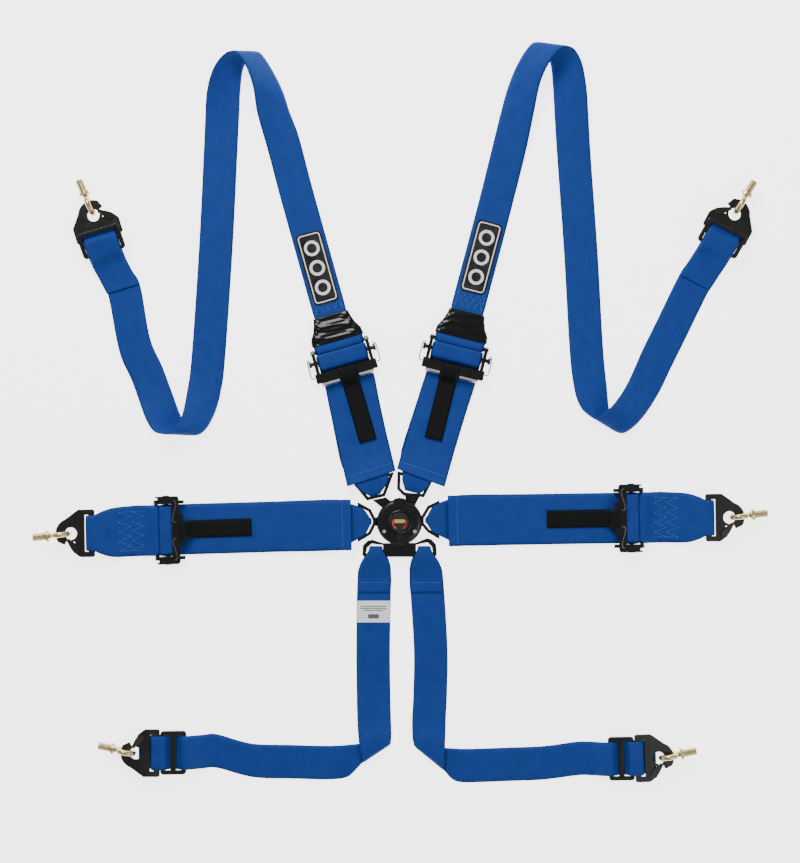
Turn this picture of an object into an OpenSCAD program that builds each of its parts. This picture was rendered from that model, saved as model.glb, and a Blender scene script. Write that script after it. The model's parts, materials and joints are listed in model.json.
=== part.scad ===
// Six point racing harness laid out flat, in millimetres.
// The floor is z = 0, the buckle is centred on the origin and +Y runs towards the shoulder straps.

/* [Webbing] */
// Width of the lap and lower shoulder webbing
wide_web = 75; // [72:0.5:75]
// Width of the upper shoulder and crotch webbing
narrow_web = 50; // [48:0.5:50]
// Thickness of the webbing
web_t = 1.6; // [1.2:0.1:1.6]
// Width of the pull tabs
tab_w = 26; // [20:1:30]

/* [Buckle] */
// Diameter of the rotary knob
knob_d = 67; // [64:1:70]
// Diameter of the latch housing
housing_d = 60; // [58:1:60]
// Width of the tongue blades
blade_w = 16; // [14:1:16]
// Thickness of the tongue blades
blade_t = 3; // [2:0.5:3]

/* [Anchors] */
// Thickness of the snap hook plates
hook_t = 3; // [2:0.5:3]
// Radius of the hook eye
eye_r = 9; // [9:0.5:10]
// Major diameter of the 7/16 UNF anchor bolt
shank_d = 11.1; // [8:0.1:12]
// Length of the threaded shank
shank_l = 20; // [15:1:30]
// Height of the hook plates over the floor
hook_z = 16.5; // [16.5:0.5:20]

/* [Adjusters] */
// Thickness of the adjuster cheeks
cheek_t = 5; // [2:0.5:5]
// Radius of the fixed adjuster crossbar
crossbar_r = 3; // [2.5:0.5:3]

/* [Hidden] */
$fn = 48;

// Colours
web_blue = "#1f5aa8";
steel_black = "#1c1c1c";
zinc_yellow = "#b9a45c";
wire_bright = "#c9c9c4";

// Places of the hardware: [x, y, turn], where local +Y points away from the buckle
adj_shoulder_left = [-84.4, 244.2, 16];
adj_shoulder_right = [84.4, 247.9, -14];
adj_lap_left = [-342.6, -12.4, 91.9];
adj_lap_right = [341.6, 5.5, -89];
hook_shoulder_left = [-449.8, 450.5, 17];
hook_shoulder_right = [492.5, 452.5, -27.5];
hook_lap_left = [-483, -17, 91];
hook_lap_right = [484.7, 6.8, -89];
hook_crotch_left = [-387.5, -339.7, 90];
hook_crotch_right = [381, -346.5, -88];

// Turn of each anchor bolt in its hook eye
bolt_shoulder_left = 6;
bolt_shoulder_right = -4;
bolt_lap_left = 6;
bolt_lap_right = 6;
bolt_crotch_left = -12;
bolt_crotch_right = 9;

// Tongue headings from +X round the buckle
heading_shoulder_left = 127;
heading_shoulder_right = 60;
heading_lap_left = 180;
heading_lap_right = 3;
heading_crotch = 271;
headings_released = [heading_shoulder_left, heading_shoulder_right, heading_lap_right, heading_crotch];

// Heights and radii inside the buckle
plate_top = 2.5;
housing_top = 12;
blade_z = 5.7;
blade_play = 0.5;
blade_inner_r = 16.5;
pawl_ring_r = 21;
pawl_d = 6;
pawl_bottom = 9;
pawl_top = 16.3;
pawl_head_d = 9.6;
pawl_head_t = 1;
tooth_r = 15.9;
knob_bottom = 12.6;
knob_top = 23.5;
knob_wall = 3;
post_d = 8;
running_gap = 0.05;
ring_z = 4.2;
ring_t = 6;
ring_rod = 4.8;

// Adjuster heights and stations
bar_z = 9.6;
bar_half_w = 38.1;
bar_len = 14;
bar_t = 7;
neck_d = 6;
bar_travel = 2.5;
crossbar_y = 15.5;
crossbar_z = 8;
cheek_x = 38.6;
lip_half = 46.5;
lip_front_half = 39.5;
crossbar_half = 44.6;
neck_reach = 33;

// Eye bolt sizes
bolt_ring_r = 12;
bolt_rod_r = 4;
bolt_axis_y = 3.75;
flange_d = 18;
flange_t = 3.5;

// ---- Curves ----

function unit(v) = v / norm(v);

// Catmull-Rom curve through all stations, with n steps between each two
function blend(a, b, c, d, u) =
    0.5 * (2 * b + (c - a) * u + (2 * a - 5 * b + 4 * c - d) * u * u
        + (3 * b - a - 3 * c + d) * u * u * u);
function curve(s, n) =
    let (m = len(s))
    [ for (i = [0:m - 2]) for (k = [0:n - 1])
        blend(s[max(i - 1, 0)], s[i], s[i + 1], s[min(i + 2, m - 1)], k / n), s[m - 1] ];

// A station is [x, y, z, heading, tilt, width] of the strap's cross direction
function centre(q) = [q[0], q[1], q[2]];
function across(q) = [cos(q[3]) * cos(q[4]), sin(q[3]) * cos(q[4]), sin(q[4])];

// Moves a station from a local place into the shared frame
function placed(p, q) = [
    p[0] + q[0] * cos(p[2]) - q[1] * sin(p[2]),
    p[1] + q[0] * sin(p[2]) + q[1] * cos(p[2]),
    q[2], q[3] + p[2], q[4], q[5]
];
function all_placed(p, list) = [ for (q = list) placed(p, q) ];

// A strap that runs straight up its local Y axis needs only [y, z, width] and a side shift
function plain(list, side = 0) = [ for (q = list) [side, q[0], q[1], 0, 0, q[2]] ];

// Corners of the strap's section at one station
function corners(p, i, t) =
    let (
        n = len(p),
        run = centre(p[min(i + 1, n - 1)]) - centre(p[max(i - 1, 0)]),
        c = across(p[i]),
        up = unit(cross(c, run)) * t / 2,
        side = c * p[i][5] / 2,
        m = centre(p[i])
    )
    [m + side + up, m - side + up, m - side - up, m + side - up];

module ribbon(stations, steps = 3, t = web_t) {
    p = curve(stations, steps);
    n = len(p);
    points = [ for (i = [0:n - 1]) each corners(p, i, t) ];
    walls = [
        for (i = [0:n - 2]) for (k = [0:3])
            let (a = 4 * i + k, b = 4 * i + (k + 1) % 4)
            each [[a, b, b + 4], [a, b + 4, a + 4]]
    ];
    last = 4 * (n - 1);
    ends = [[0, 2, 1], [0, 3, 2], [last, last + 1, last + 2], [last, last + 2, last + 3]];
    polyhedron(points, concat(walls, ends), convexity = 12);
}

module at_place(p) {
    translate([p[0], p[1], 0])
        rotate([0, 0, p[2]])
            children();
}

// Moves every edge of a closed outline outwards by d
function edge_out(a, b) = let (v = unit(b - a)) [v[1], -v[0]];
function grown(s, d) = [
    for (i = [0:len(s) - 1])
        let (
            n = len(s),
            e = edge_out(s[(i + n - 1) % n], s[i]),
            f = edge_out(s[i], s[(i + 1) % n])
        )
        s[i] + d * (e + f) / (1 + e * f)
];

// ---- Buckle ----

module back_plate() {
    color(steel_black)
        cylinder(h = plate_top, d = housing_d - 2, $fn = 96);
}

module blade_channel(heading) {
    rotate([0, 0, heading])
        translate([blade_inner_r - 1, -blade_w / 2 - blade_play, blade_z - blade_play])
            cube([housing_d, blade_w + 2 * blade_play, blade_t + 2 * blade_play]);
}

module housing() {
    color(steel_black)
        difference() {
            translate([0, 0, plate_top])
                cylinder(h = housing_top - plate_top, d = housing_d, $fn = 96);
            cylinder(h = housing_top + 1, d = post_d + 0.6);
            for (heading = concat(headings_released, [heading_lap_left]))
                blade_channel(heading);
            for (heading = headings_released)
                rotate([0, 0, heading])
                    translate([pawl_ring_r, 0, blade_z + blade_t])
                        cylinder(h = housing_top, d = pawl_d + 0.2);
        }
    color(steel_black)
        rotate([0, 0, heading_lap_left])
            translate([pawl_ring_r, 0, plate_top])
                cylinder(h = housing_top - plate_top - 1, d = pawl_d + 0.8);
}

module center_post() {
    color(wire_bright)
        translate([0, 0, plate_top])
            cylinder(h = knob_top - 4.5 - plate_top, d = post_d);
}

module return_spring() {
    color(wire_bright)
        translate([0, 0, housing_top + 0.2])
            rotate([0, 0, 20])
                rotate_extrude(angle = 320)
                    translate([5.4, 0.6])
                        circle(r = 0.6, $fn = 16);
}

module latch_pawls() {
    color(wire_bright)
        for (heading = headings_released)
            rotate([0, 0, heading])
                translate([pawl_ring_r, 0, 0]) {
                    translate([0, 0, pawl_bottom])
                        cylinder(h = pawl_top - pawl_bottom, d = pawl_d);
                    translate([0, 0, pawl_top - pawl_head_t])
                        cylinder(h = pawl_head_t, d = pawl_head_d);
                }
}

module release_cam() {
    tooth_headings = [96, 32, -43, 225];
    color(wire_bright)
        difference() {
            translate([0, 0, housing_top + 0.3])
                union() {
                    cylinder(h = 4.5, r = 12);
                    linear_extrude(2.6)
                        for (heading = tooth_headings)
                            rotate([0, 0, heading])
                                translate([0, -2.5])
                                    square([tooth_r, 5]);
                }
            cylinder(h = knob_top, r = 7);
        }
}

// Half section of the knob, outside and in
module knob_profile() {
    rim = knob_d / 2;
    polygon([
        [0, 16.8], [27.5, 16.8], [30.5, 14.5], [30.5, knob_bottom], [rim - 0.8, knob_bottom],
        [rim, knob_bottom + 0.8], [rim, 17.5], [rim - 2.2, 20.3], [rim - 6, 21.6],
        [18.6, 22.2], [17.6, 24.6], [16.6, 25], [15.4, 24.6], [14.8, 23.6], [0, 23.6]
    ]);
}

module knob() {
    color(steel_black)
        difference() {
            union() {
                rotate_extrude($fn = 96)
                    knob_profile();
                translate([0, 0, 19.5])
                    linear_extrude(4.4)
                        polygon([
                            [-6.5, 17], [6.5, 17], [9.5, 31], [7.5, 34.6],
                            [0, 36], [-7.5, 34.6], [-9.5, 31]
                        ]);
                translate([-4, -33, 19.5])
                    cube([8, 15, 4.2]);
            }
            cylinder(h = 20, d = post_d + 2 * running_gap);
            for (side = [-1, 1])
                translate([side * 22.5, -13.6, 20.6])
                    cylinder(h = 6, d = 5.4);
        }
}

module knob_screws() {
    color(wire_bright)
        for (side = [-1, 1])
            translate([side * 22.5, -13.6, 20.6])
                difference() {
                    cylinder(h = 1.9, d = 5);
                    translate([0, 0, 1])
                        cylinder(h = 2, d = 2.4, $fn = 6);
                }
}

// ---- Tongues ----

// A flat blade with its latch hole, and the neck that runs out to the ring
module blade(heading, neck) {
    difference() {
        translate([0, 0, blade_z])
            linear_extrude(blade_t)
                union() {
                    rotate([0, 0, heading])
                        translate([blade_inner_r, -blade_w / 2])
                            square([neck_reach - blade_inner_r, blade_w]);
                    polygon(neck);
                }
        rotate([0, 0, heading])
            translate([pawl_ring_r, 0, 0])
                cylinder(h = housing_top, d = pawl_d + 1);
    }
}
module tongue(heading, neck, window) {
    color(steel_black)
        difference() {
            union() {
                blade(heading, neck);
                translate([0, 0, ring_z])
                    linear_extrude(ring_t)
                        polygon(grown(window, ring_rod));
            }
            linear_extrude(3 * ring_t)
                polygon(window);
        }
}

window_shoulder_left = [[-61.5, 55], [-46, 36.5], [-24.8, 41.6], [-15.5, 66.5]];
neck_shoulder_left = [[-12.3, 29.6], [-25, 19.9], [-40, 32], [-20, 36]];
window_shoulder_right = [[1.5, 68.5], [1, 50], [8, 43], [33.5, 41], [42.5, 58.5]];
neck_shoulder_right = [[22.4, 22.9], [8.6, 30.8], [8, 40], [32, 41]];
window_lap_left = [[-57, 21], [-57, -22], [-46, -15.5], [-39.5, -2.5], [-39.5, 2.5], [-46, 15]];
neck_lap_left = [[-30, -8], [-38, -5], [-38, 5], [-30, 8]];
window_lap_right = [[54, -17.5], [54, 24], [44.5, 19.5], [36, 5], [36, -2], [44, -11.5]];
neck_lap_right = [[30, 8.5], [35, 7], [35, -4], [30, -6.5]];

module crotch_tongue() {
    rod = 5;
    outer = [
        [-55, -49], [-54, -35], [-47, -28], [-40, -26.5], [-24, -31.6], [24, -31.2],
        [40, -24.5], [47, -26], [54, -33.5], [55, -49], [52, -52], [-52, -52]
    ];
    left_window = [[-49.5, -46.5], [-24.5, -46.5], [-24.5, -34.5], [-41, -32.5], [-47.5, -38]];
    right_window = [[49.5, -46.5], [47.5, -36.5], [41, -30.5], [24.5, -34], [24.5, -46.5]];
    color(steel_black)
        difference() {
            union() {
                blade(heading_crotch, [[-8, -30.7], [9, -30.7], [22, -33], [22, -36], [-22, -36], [-22, -33]]);
                translate([0, 0, ring_z])
                    linear_extrude(rod)
                        polygon(outer);
            }
            linear_extrude(3 * ring_t)
                polygon(left_window);
            linear_extrude(3 * ring_t)
                polygon(right_window);
        }
}

// ---- Lower webbing: loop on the tongue, main layer, roll round the bar, tail with hem ----

// Raises a tilted station until its lower edge is clear of the floor
function lifted(q) = [q[0], q[1], max(q[2], q[5] / 2 * abs(sin(q[4])) + 2.4), q[3], q[4], q[5]];
function all_lifted(list) = [ for (q = list) q[4] == 0 ? q : lifted(q) ];

function at_x(list, x, turn = 0) = [ for (q = list) [x, q[0], q[1], turn, 0, q[2]] ];

function bar_roll(side) = plain([
    [-45, 0.9, wide_web], [-25, 1.4, wide_web], [-10, 3.8, wide_web], [2, 4.5, wide_web],
    [7.2, 6.2, wide_web], [8.8, 9.2, wide_web], [10, 12.8, wide_web], [8, 15, wide_web], [2, 14.8, wide_web],
    [-6, 14.4, wide_web], [-11, 12.9, wide_web], [-12.6, 10, wide_web],
    [-15, 6.4, wide_web], [-22, 4, wide_web], [-40, 3.3, wide_web]
], side);

// hem, bar and tip are distances down the strap; bar_w and tip_w are the bunched widths
function lower_path(hem, bar, tip, hem_x, bar_x, tip_x, bar_w, tip_w, hem_turn) = concat(
    at_x([[-bar + 46, 2.9, wide_web - 1]], hem_x),
    at_x([[-bar + 32, 3.6, wide_web - 2]], hem_x),
    at_x([[-bar + 15, 8.4, 0.45 * wide_web + 0.55 * bar_w]], 0.5 * hem_x + 0.5 * bar_x),
    at_x([[-bar, 12.4, bar_w]], bar_x),
    at_x([[-0.55 * bar - 0.45 * tip, 12.2, 0.75 * bar_w + 0.25 * tip_w]], bar_x),
    at_x([[-tip + 1.5, 10, tip_w]], tip_x),
    at_x([[-tip + 1.2, 6.6, tip_w]], tip_x),
    at_x([[-0.5 * bar - 0.5 * tip, 2.9, 0.5 * bar_w + 0.5 * tip_w]], bar_x),
    at_x([[-bar, 1.5, bar_w]], bar_x),
    at_x([[-bar + 14, 0.8, 0.45 * wide_web + 0.55 * bar_w]], 0.5 * hem_x + 0.5 * bar_x),
    at_x([[-bar + 32, 0.8, wide_web]], hem_x),
    at_x([[-0.55 * bar, 0.8, wide_web]], 0.6 * hem_x),
    bar_roll(0),
    at_x([[-0.35 * hem, 3.3, wide_web]], 0.25 * hem_x),
    at_x([[-hem + 60, 4.6, wide_web]], 0.7 * hem_x),
    at_x([[-hem + 40, 5.7, wide_web]], 0.8 * hem_x),
    at_x([[-hem + 20, 9.6, wide_web]], 0.9 * hem_x, hem_turn / 2),
    at_x([[-hem, 14.9, wide_web]], hem_x, hem_turn)
);

path_shoulder_left_lower = lower_path(185.4, 186.5, 210, -8.4, -8.4, -9.5, 52, 19, 2);
path_shoulder_right_lower = lower_path(190.5, 191.5, 213.5, -7.3, -13, -14, 44, 25, -7);
path_lap_left = lower_path(271.7, 283.5, 301.5, -1, 2.1, 2.8, 46, 10, -0.7);
path_lap_right = lower_path(269.8, 285, 303.5, -0.5, -2.9, -1.7, 46, 9, 0.5);

// ---- Adjusters ----

module cheek_outline() {
    polygon([
        [-26, 6.5], [-26, 12], [-21, 15.6], [12, 15.6],
        [17.5, 12.5], [19.5, 8], [18, 4], [-14, 1.2]
    ]);
}

module cheek(side) {
    translate([side > 0 ? cheek_x : -cheek_x - cheek_t, 0, 0])
        difference() {
            rotate([90, 0, 90])
                linear_extrude(cheek_t)
                    cheek_outline();
            translate([-1, -neck_d / 2 - 0.3 - bar_travel, bar_z - neck_d / 2 - 0.3])
                cube([cheek_t + 2, neck_d + 0.6 + bar_travel, neck_d + 0.6]);
        }
}

module crossbar() {
    translate([-crossbar_half, crossbar_y, crossbar_z])
        rotate([0, 90, 0])
            cylinder(h = 2 * crossbar_half, r = crossbar_r);
}

// Tilt-lock frame of the shoulder straps, with its rolled lip
module lip_frame() {
    color(steel_black)
        union() {
            cheek(1);
            cheek(-1);
            crossbar();
            translate([-lip_half, 0, 0])
                rotate([90, 0, 90])
                    linear_extrude(2 * lip_half)
                        polygon([
                            [-15.6, 12.2], [-16.8, 15.4], [-28, 16], [-30.5, 14.8],
                            [-30.5, 8], [-24, 6.8], [-18.5, 7.8]
                        ]);
            translate([-lip_front_half, 0, 0])
                rotate([90, 0, 90])
                    linear_extrude(2 * lip_front_half)
                        polygon([[-29, 15.4], [-33.6, 13.4], [-36, 9], [-33, 6.8], [-29, 7.6]]);
        }
}

// Flat-topped frame of the lap straps, with its finger lever
module plate_frame() {
    plate = [
        [-50, -17], [-47, -19.5], [-24, -19.5], [-24, -24], [-21, -27], [-18.5, -24.5], [18.5, -24.5],
        [21, -27], [24, -24], [24, -19.5], [47, -19.5], [50, -17], [50, 15], [47.5, 15],
        [47.5, 12], [cheek_x, 12], [cheek_x, -8], [-cheek_x, -8], [-cheek_x, 12], [-47.5, 12],
        [-47.5, 15], [-50, 15]
    ];
    color(steel_black)
        union() {
            cheek(1);
            cheek(-1);
            crossbar();
            translate([0, 0, 15.5])
                linear_extrude(2.5)
                    polygon(plate);
        }
}

module locking_bar() {
    half = bar_len / 2 - bar_t / 2;
    color(wire_bright)
        union() {
            translate([-bar_half_w, 0, bar_z])
                rotate([90, 0, 90])
                    linear_extrude(2 * bar_half_w)
                        polygon([
                            for (a = [0:30:180]) [half + bar_t / 2 * sin(a), bar_t / 2 * cos(a)],
                            for (a = [0:30:180]) [-half - bar_t / 2 * sin(a), -bar_t / 2 * cos(a)]
                        ]);
            translate([-47.5, 0, bar_z])
                rotate([0, 90, 0])
                    cylinder(h = 95, d = neck_d);
            for (x = [-51, 47])
                translate([x, 0, bar_z])
                    rotate([0, 90, 0])
                        cylinder(h = 4, d = 10);
        }
}

function wire(list, z, side) = [ for (q = list) [side * q[0], q[1], z, 0, 90, 1.6] ];

module edge_springs() {
    route = [[47.2, -21], [50.5, -21], [52.6, -18], [52.6, -8], [52.6, 2.5], [51, 6.4], [48, 6.6]];
    color(wire_bright)
        for (side = [-1, 1])
            ribbon(wire(route, bar_z, side), 2, 1.6);
}

module plate_springs() {
    route = [[44, -12], [41, -15], [34, -14.5], [20, -10.5], [13, -10.5], [12, -14.5]];
    color(wire_bright)
        for (side = [-1, 1])
            ribbon(wire(route, 19, side), 2, 1.6);
}

shoulder_tab = [
    [-20, 17.4, tab_w], [-28, 17.6, tab_w], [-34, 15.6, tab_w], [-38.6, 10.5, tab_w],
    [-42, 7.2, tab_w], [-48, 5.6, tab_w], [-70, 5.6, tab_w], [-100, 6, tab_w], [-131, 7.4, tab_w]
];
lap_tab = [
    [-19, 19.4, tab_w], [-26, 19.4, tab_w], [-29.5, 17, tab_w], [-32, 12, tab_w],
    [-37, 7.4, tab_w], [-46, 5.6, tab_w], [-80, 5.6, tab_w], [-124, 5.9, tab_w]
];

module end_cover() {
    module slab(y, half_w, bottom, top) {
        translate([-half_w, y, bottom])
            cube([2 * half_w, 0.2, top - bottom]);
    }
    color("#151515")
        difference() {
            hull() {
                slab(23.4, 40, 0, 13.6);
                slab(46, 33, 0, 10);
                slab(63.8, 27, 0, 6);
            }
            hull() {
                slab(23.2, 38.6, 1.2, 12.4);
                slab(46, 31.6, 1.2, 8.8);
                slab(64, 25.8, 1.2, 4.8);
            }
        }
}

// ---- Hooks, gates and anchor bolts ----

pivot = [24.5, -8];

module hook() {
    plate = [
        [33, -35], [35, -33], [35, -14], [33, -10.4], [27.8, -3.8], [14.2, 3.5], [5, 15],
        [-11.8, 19], [-21, 8], [-35, -11], [-35, -33], [-33, -35]
    ];
    mouth = [
        [12.6, 17.4], [16.6, 9.4], [7.6, 4.8], [8.9, -1.6], [14.2, 3.5], [27.8, -3.8],
        [45, -3.8], [45, 45], [12.6, 45]
    ];
    difference() {
        translate([0, 0, hook_z - hook_t / 2])
            linear_extrude(hook_t)
                difference() {
                    union() {
                        polygon(plate);
                        circle(r = 22.5, $fn = 96);
                    }
                    polygon(mouth);
                    translate([-27, -26])
                        square([54, 5.6]);
                }
        cylinder(h = 40, r = eye_r);
        translate([pivot[0], pivot[1], 0])
            cylinder(h = 40, d = 5);
        translate([13.6, -4.5, 0])
            cylinder(h = 40, d = 3.4);
    }
}

// The keeper: a leaf on the plate, its rivet, and a stop that closes the mouth
module gate() {
    turn = atan2(12.7, -15.9);
    top = hook_z + hook_t / 2;
    color(steel_black)
        translate([pivot[0], pivot[1], 0])
            union() {
                translate([0, 0, top + 0.3])
                    linear_extrude(2)
                        rotate([0, 0, turn])
                            polygon([
                                [-4, -3.5], [-4, 3.5], [-1, 5], [8, 5.2],
                                [20.3, 2.4], [20.3, -2], [8, -4.4], [-1, -5]
                            ]);
                translate([0, 0, top - hook_t - 1.6])
                    cylinder(h = hook_t + 2.4, d = 5 - 2 * running_gap);
                translate([0, 0, top - hook_t - 2])
                    cylinder(h = 1.5, d = 8);
                translate([0, 0, top - hook_t + 0.2])
                    rotate([0, 0, turn])
                        translate([17.9, -1.3, 0])
                            cube([2.4, 2.6, hook_t + 0.5]);
            }
}

module eye_bolt(turn) {
    flange_y = bolt_axis_y + bolt_ring_r * 2 + bolt_rod_r + 0.75;
    color(zinc_yellow)
        translate([0, bolt_axis_y, hook_z])
            rotate([0, 0, turn])
                translate([0, -bolt_axis_y, 0])
                    union() {
                        translate([0, bolt_axis_y + bolt_ring_r, 0])
                            rotate([0, 90, 0])
                                rotate_extrude()
                                    translate([bolt_ring_r, 0])
                                        circle(r = bolt_rod_r, $fn = 32);
                        translate([0, flange_y - 3.6, 0])
                            rotate([-90, 0, 0])
                                cylinder(h = 4, d = 9);
                        translate([0, flange_y, 0])
                            rotate([-90, 0, 0])
                                cylinder(h = flange_t, d = flange_d);
                        translate([0, flange_y + flange_t, 0])
                            rotate([-90, 0, 0])
                                cylinder(h = shank_l, d = shank_d);
                    }
}

module placed_hook(p, flip) {
    color(steel_black)
        at_place(p)
            mirror([flip ? 1 : 0, 0, 0])
                hook();
}

module placed_gate(p, flip) {
    at_place(p)
        mirror([flip ? 1 : 0, 0, 0])
            gate();
}

// ---- Three-bar slides ----

module slide(y, z, slope) {
    color(steel_black)
        translate([0, y, z])
            rotate([slope, 0, 0])
                translate([0, 0, -2.25])
                    linear_extrude(4.5)
                        difference() {
                            polygon([
                                [-29, -19], [29, -19], [32, -16], [32, 16], [29, 19],
                                [-29, 19], [-32, 16], [-32, -16]
                            ]);
                            for (y = [-13.5, 4])
                                translate([-26, y])
                                    square([52, 9.5]);
                        }
}

// ---- Upper shoulder webbing ----

// Sewn loop round the adjuster's crossbar, under the cover, out to the narrow strap
crossbar_loop = plain([
    [47, 6, 56], [36, 8.2, 64], [25, 10.6, 74], [19.5, 12.2, 74], [15.5, 12.4, 74],
    [12, 11, 74], [11.1, 8, 74], [12, 5, 74], [15.5, 3.6, 74], [24, 3.1, 74],
    [42, 2.7, 60], [60, 2.5, narrow_web], [84, 0.9, narrow_web]
]);

// Strap end at a shoulder hook: under the slide, round the hook bar, back over the slide
function shoulder_end(drift) = [
    [2.2 * drift, -118, 0.8, 0, 0, narrow_web], [drift, -92, 1.6, 0, 0, narrow_web],
    [0.2 * drift, -72, 5.2, 0, 0, narrow_web], [0, -55, 9.3, 0, 0, narrow_web],
    [0, -43, 12.4, 0, 0, narrow_web], [0, -34, 13.6, 0, 0, narrow_web],
    [0, -26, 13.8, 0, 0, narrow_web], [0, -22.5, 16.5, 0, 0, narrow_web],
    [0, -25.5, 19.2, 0, 0, narrow_web], [0, -30, 19.6, 0, 0, narrow_web],
    [0, -33.5, 22.1, 0, 0, narrow_web], [0, -37.6, 24.9, 0, 0, narrow_web],
    [0, -44, 23.8, 0, 0, narrow_web], [0, -54, 20.6, 0, 0, narrow_web],
    [0, -60, 18.2, 0, 0, narrow_web], [0, -66, 11.8, 0, 0, narrow_web],
    [0.2 * drift, -75, 7.3, 0, 0, narrow_web], [drift, -92, 4.2, 0, 0, narrow_web],
    [2 * drift, -114, 3, 0, 0, narrow_web]
];

route_shoulder_left = [
    [-137, 430, 0.8, 15, 0, 50], [-155, 495, 0.8, 16.5, 0, 50], [-172, 560, 1, 16, -4, 50],
    [-186, 604, 6, 6, -16, 49], [-194, 638, 13, 4, -34, 49], [-207, 668, 22, 6, -45, 50],
    [-222, 688, 26, 12, -47, 50], [-236, 688, 20, 10, -44, 50], [-251, 668, 13, 4, -34, 49],
    [-259, 636, 7, 1, -18, 50], [-262, 598, 1.6, -1, -4, 50], [-265, 540, 0.8, -2, 0, 50],
    [-272, 400, 0.8, -3, 0, 50], [-283, 240, 0.8, -3, 0, 50], [-289, 190, 5, 1, -10, 50],
    [-296, 158, 15, 2, -24, 50], [-308, 136, 23, -2, -28, 50], [-323, 128.5, 21, -3, -28, 50],
    [-338, 136, 13, 6, -24, 50], [-350, 158, 6, 16, -14, 50], [-361, 186, 1.2, 22, -3, 50],
    [-374, 220, 0.8, 25, 0, 50], [-392, 262, 0.8, 24, 0, 50]
];

route_shoulder_right = [
    [131, 428, 0.8, -15, 0, 50], [147, 490, 0.8, -16, 0, 50], [163, 555, 1, -12, 4, 50],
    [174, 604, 6, -8, 12, 49], [184, 645, 14, -4, 24, 49], [198, 676, 23, -8, 28, 50],
    [216, 698, 26, -15, 27, 50], [232, 698, 21, -12, 27, 50], [245, 676, 13, -4, 24, 49],
    [251, 640, 7, -2, 14, 50], [254, 600, 1.6, 2, 4, 50], [258, 540, 0.8, 3, 0, 50],
    [268, 400, 0.8, 3.5, 0, 50], [276, 260, 0.8, 4, 0, 50], [281, 205, 1.2, 2, -6, 50],
    [287, 168, 3, -12, -18, 50], [298, 146, 8, -28, -22, 50], [312, 143, 17, -32, -22, 50],
    [331, 158, 20, -36, -20, 50], [350, 182, 12, -38, -14, 50], [366, 210, 4, -34, -6, 50],
    [380, 240, 1, -31, -1, 50], [402, 284, 0.8, -29, 0, 50]
];

module shoulder_upper(adjuster, route, hook_place, drift) {
    color(web_blue)
        ribbon(concat(
            all_placed(adjuster, crossbar_loop),
            all_lifted(route),
            all_placed(hook_place, shoulder_end(drift))
        ));
}

// ---- Lap outer webbing: one sewn loop from the crossbar to the hook ----

module lap_outer(adjuster, hook_place) {
    color(web_blue)
        ribbon(concat(
            all_placed(adjuster, plain([[31, 0.9, wide_web], [50, 0.8, wide_web]])),
            all_placed(hook_place, plain([
                [-62, 3.4, 72], [-47, 9, 62], [-37, 13, 53], [-28, 13.6, 52], [-22.5, 16.5, 52],
                [-26, 19.5, 52], [-34.5, 19.8, 53], [-46, 15.6, 64], [-62, 7.8, 73]
            ])),
            all_placed(adjuster, plain([
                [50, 3.6, wide_web], [31, 5.6, wide_web], [23, 9.4, wide_web], [15.5, 12.5, wide_web],
                [12, 11, wide_web], [11.1, 8, wide_web], [12, 5, wide_web], [15.5, 3.6, wide_web],
                [25, 2.6, wide_web]
            ]))
        ));
}

// ---- Crotch straps ----

// Strap end at a crotch hook: over, under and over the slide, round the hook bar, tail below
crotch_end = plain([
    [-118, 0.9, narrow_web], [-98, 4.6, narrow_web], [-84, 11.6, narrow_web],
    [-73, 16, narrow_web], [-67.6, 15.4, narrow_web], [-62.6, 11, narrow_web],
    [-54.5, 8.7, narrow_web], [-48, 10, narrow_web], [-44.8, 13, narrow_web],
    [-42.2, 17.2, narrow_web], [-38, 19.2, narrow_web], [-32, 20, narrow_web],
    [-26, 19.3, narrow_web], [-22.5, 16.5, narrow_web], [-25.5, 13.6, narrow_web],
    [-31, 12.6, narrow_web], [-38, 9.6, narrow_web], [-46, 6.6, narrow_web],
    [-58, 5.4, narrow_web], [-66, 4.8, narrow_web], [-68.6, 3.4, narrow_web],
    [-66, 2, narrow_web], [-50, 2.2, narrow_web], [-28, 6, narrow_web],
    [-12, 9, narrow_web], [-3, 9.8, narrow_web]
]);

// Bunched loop in the wide tongue, then the strap down to its fold
function crotch_start(side, x0, x1) = [
    [x1, -104, 2.9, 0, 0, 49], [x1 - side * 1, -84, 3.4, 0, 0, 49],
    [0.5 * x0 + 0.5 * x1, -64, 8.4, 0, 0, 44], [x0, -52, 11.6, 0, 0, 32],
    [x0, -43, 11.6, 0, 0, 22], [x0, -37.2, 9.4, 0, 0, 19],
    [x0, -37.4, 5.2, 0, 0, 19], [x0, -43, 2.4, 0, 0, 22],
    [x0, -52, 1.4, 0, 0, 34], [0.5 * x0 + 0.5 * x1, -66, 0.8, 0, 0, 46],
    [x1, -88, 0.8, 0, 0, 50]
];
route_crotch_left = [
    [-39, -184, 0.8, 0, 0, 50], [-38.5, -250, 0.8, 0, 0, 50], [-37.5, -292, 4, 4, 0, 50],
    [-36, -318, 9.2, 16, 0, 50], [-34.5, -335, 9.6, 28, 0, 50], [-34, -342, 5.4, 33, 0, 50],
    [-38, -344, 1.4, 37, 0, 50], [-54, -349, 0.8, 58, 0, 50], [-76, -354.5, 0.8, 80, 0, 50],
    [-104, -356.8, 0.8, 88, 0, 50], [-160, -355.5, 0.8, 91, 0, 50], [-218, -353.4, 0.8, 92, 0, 50]
];
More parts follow.
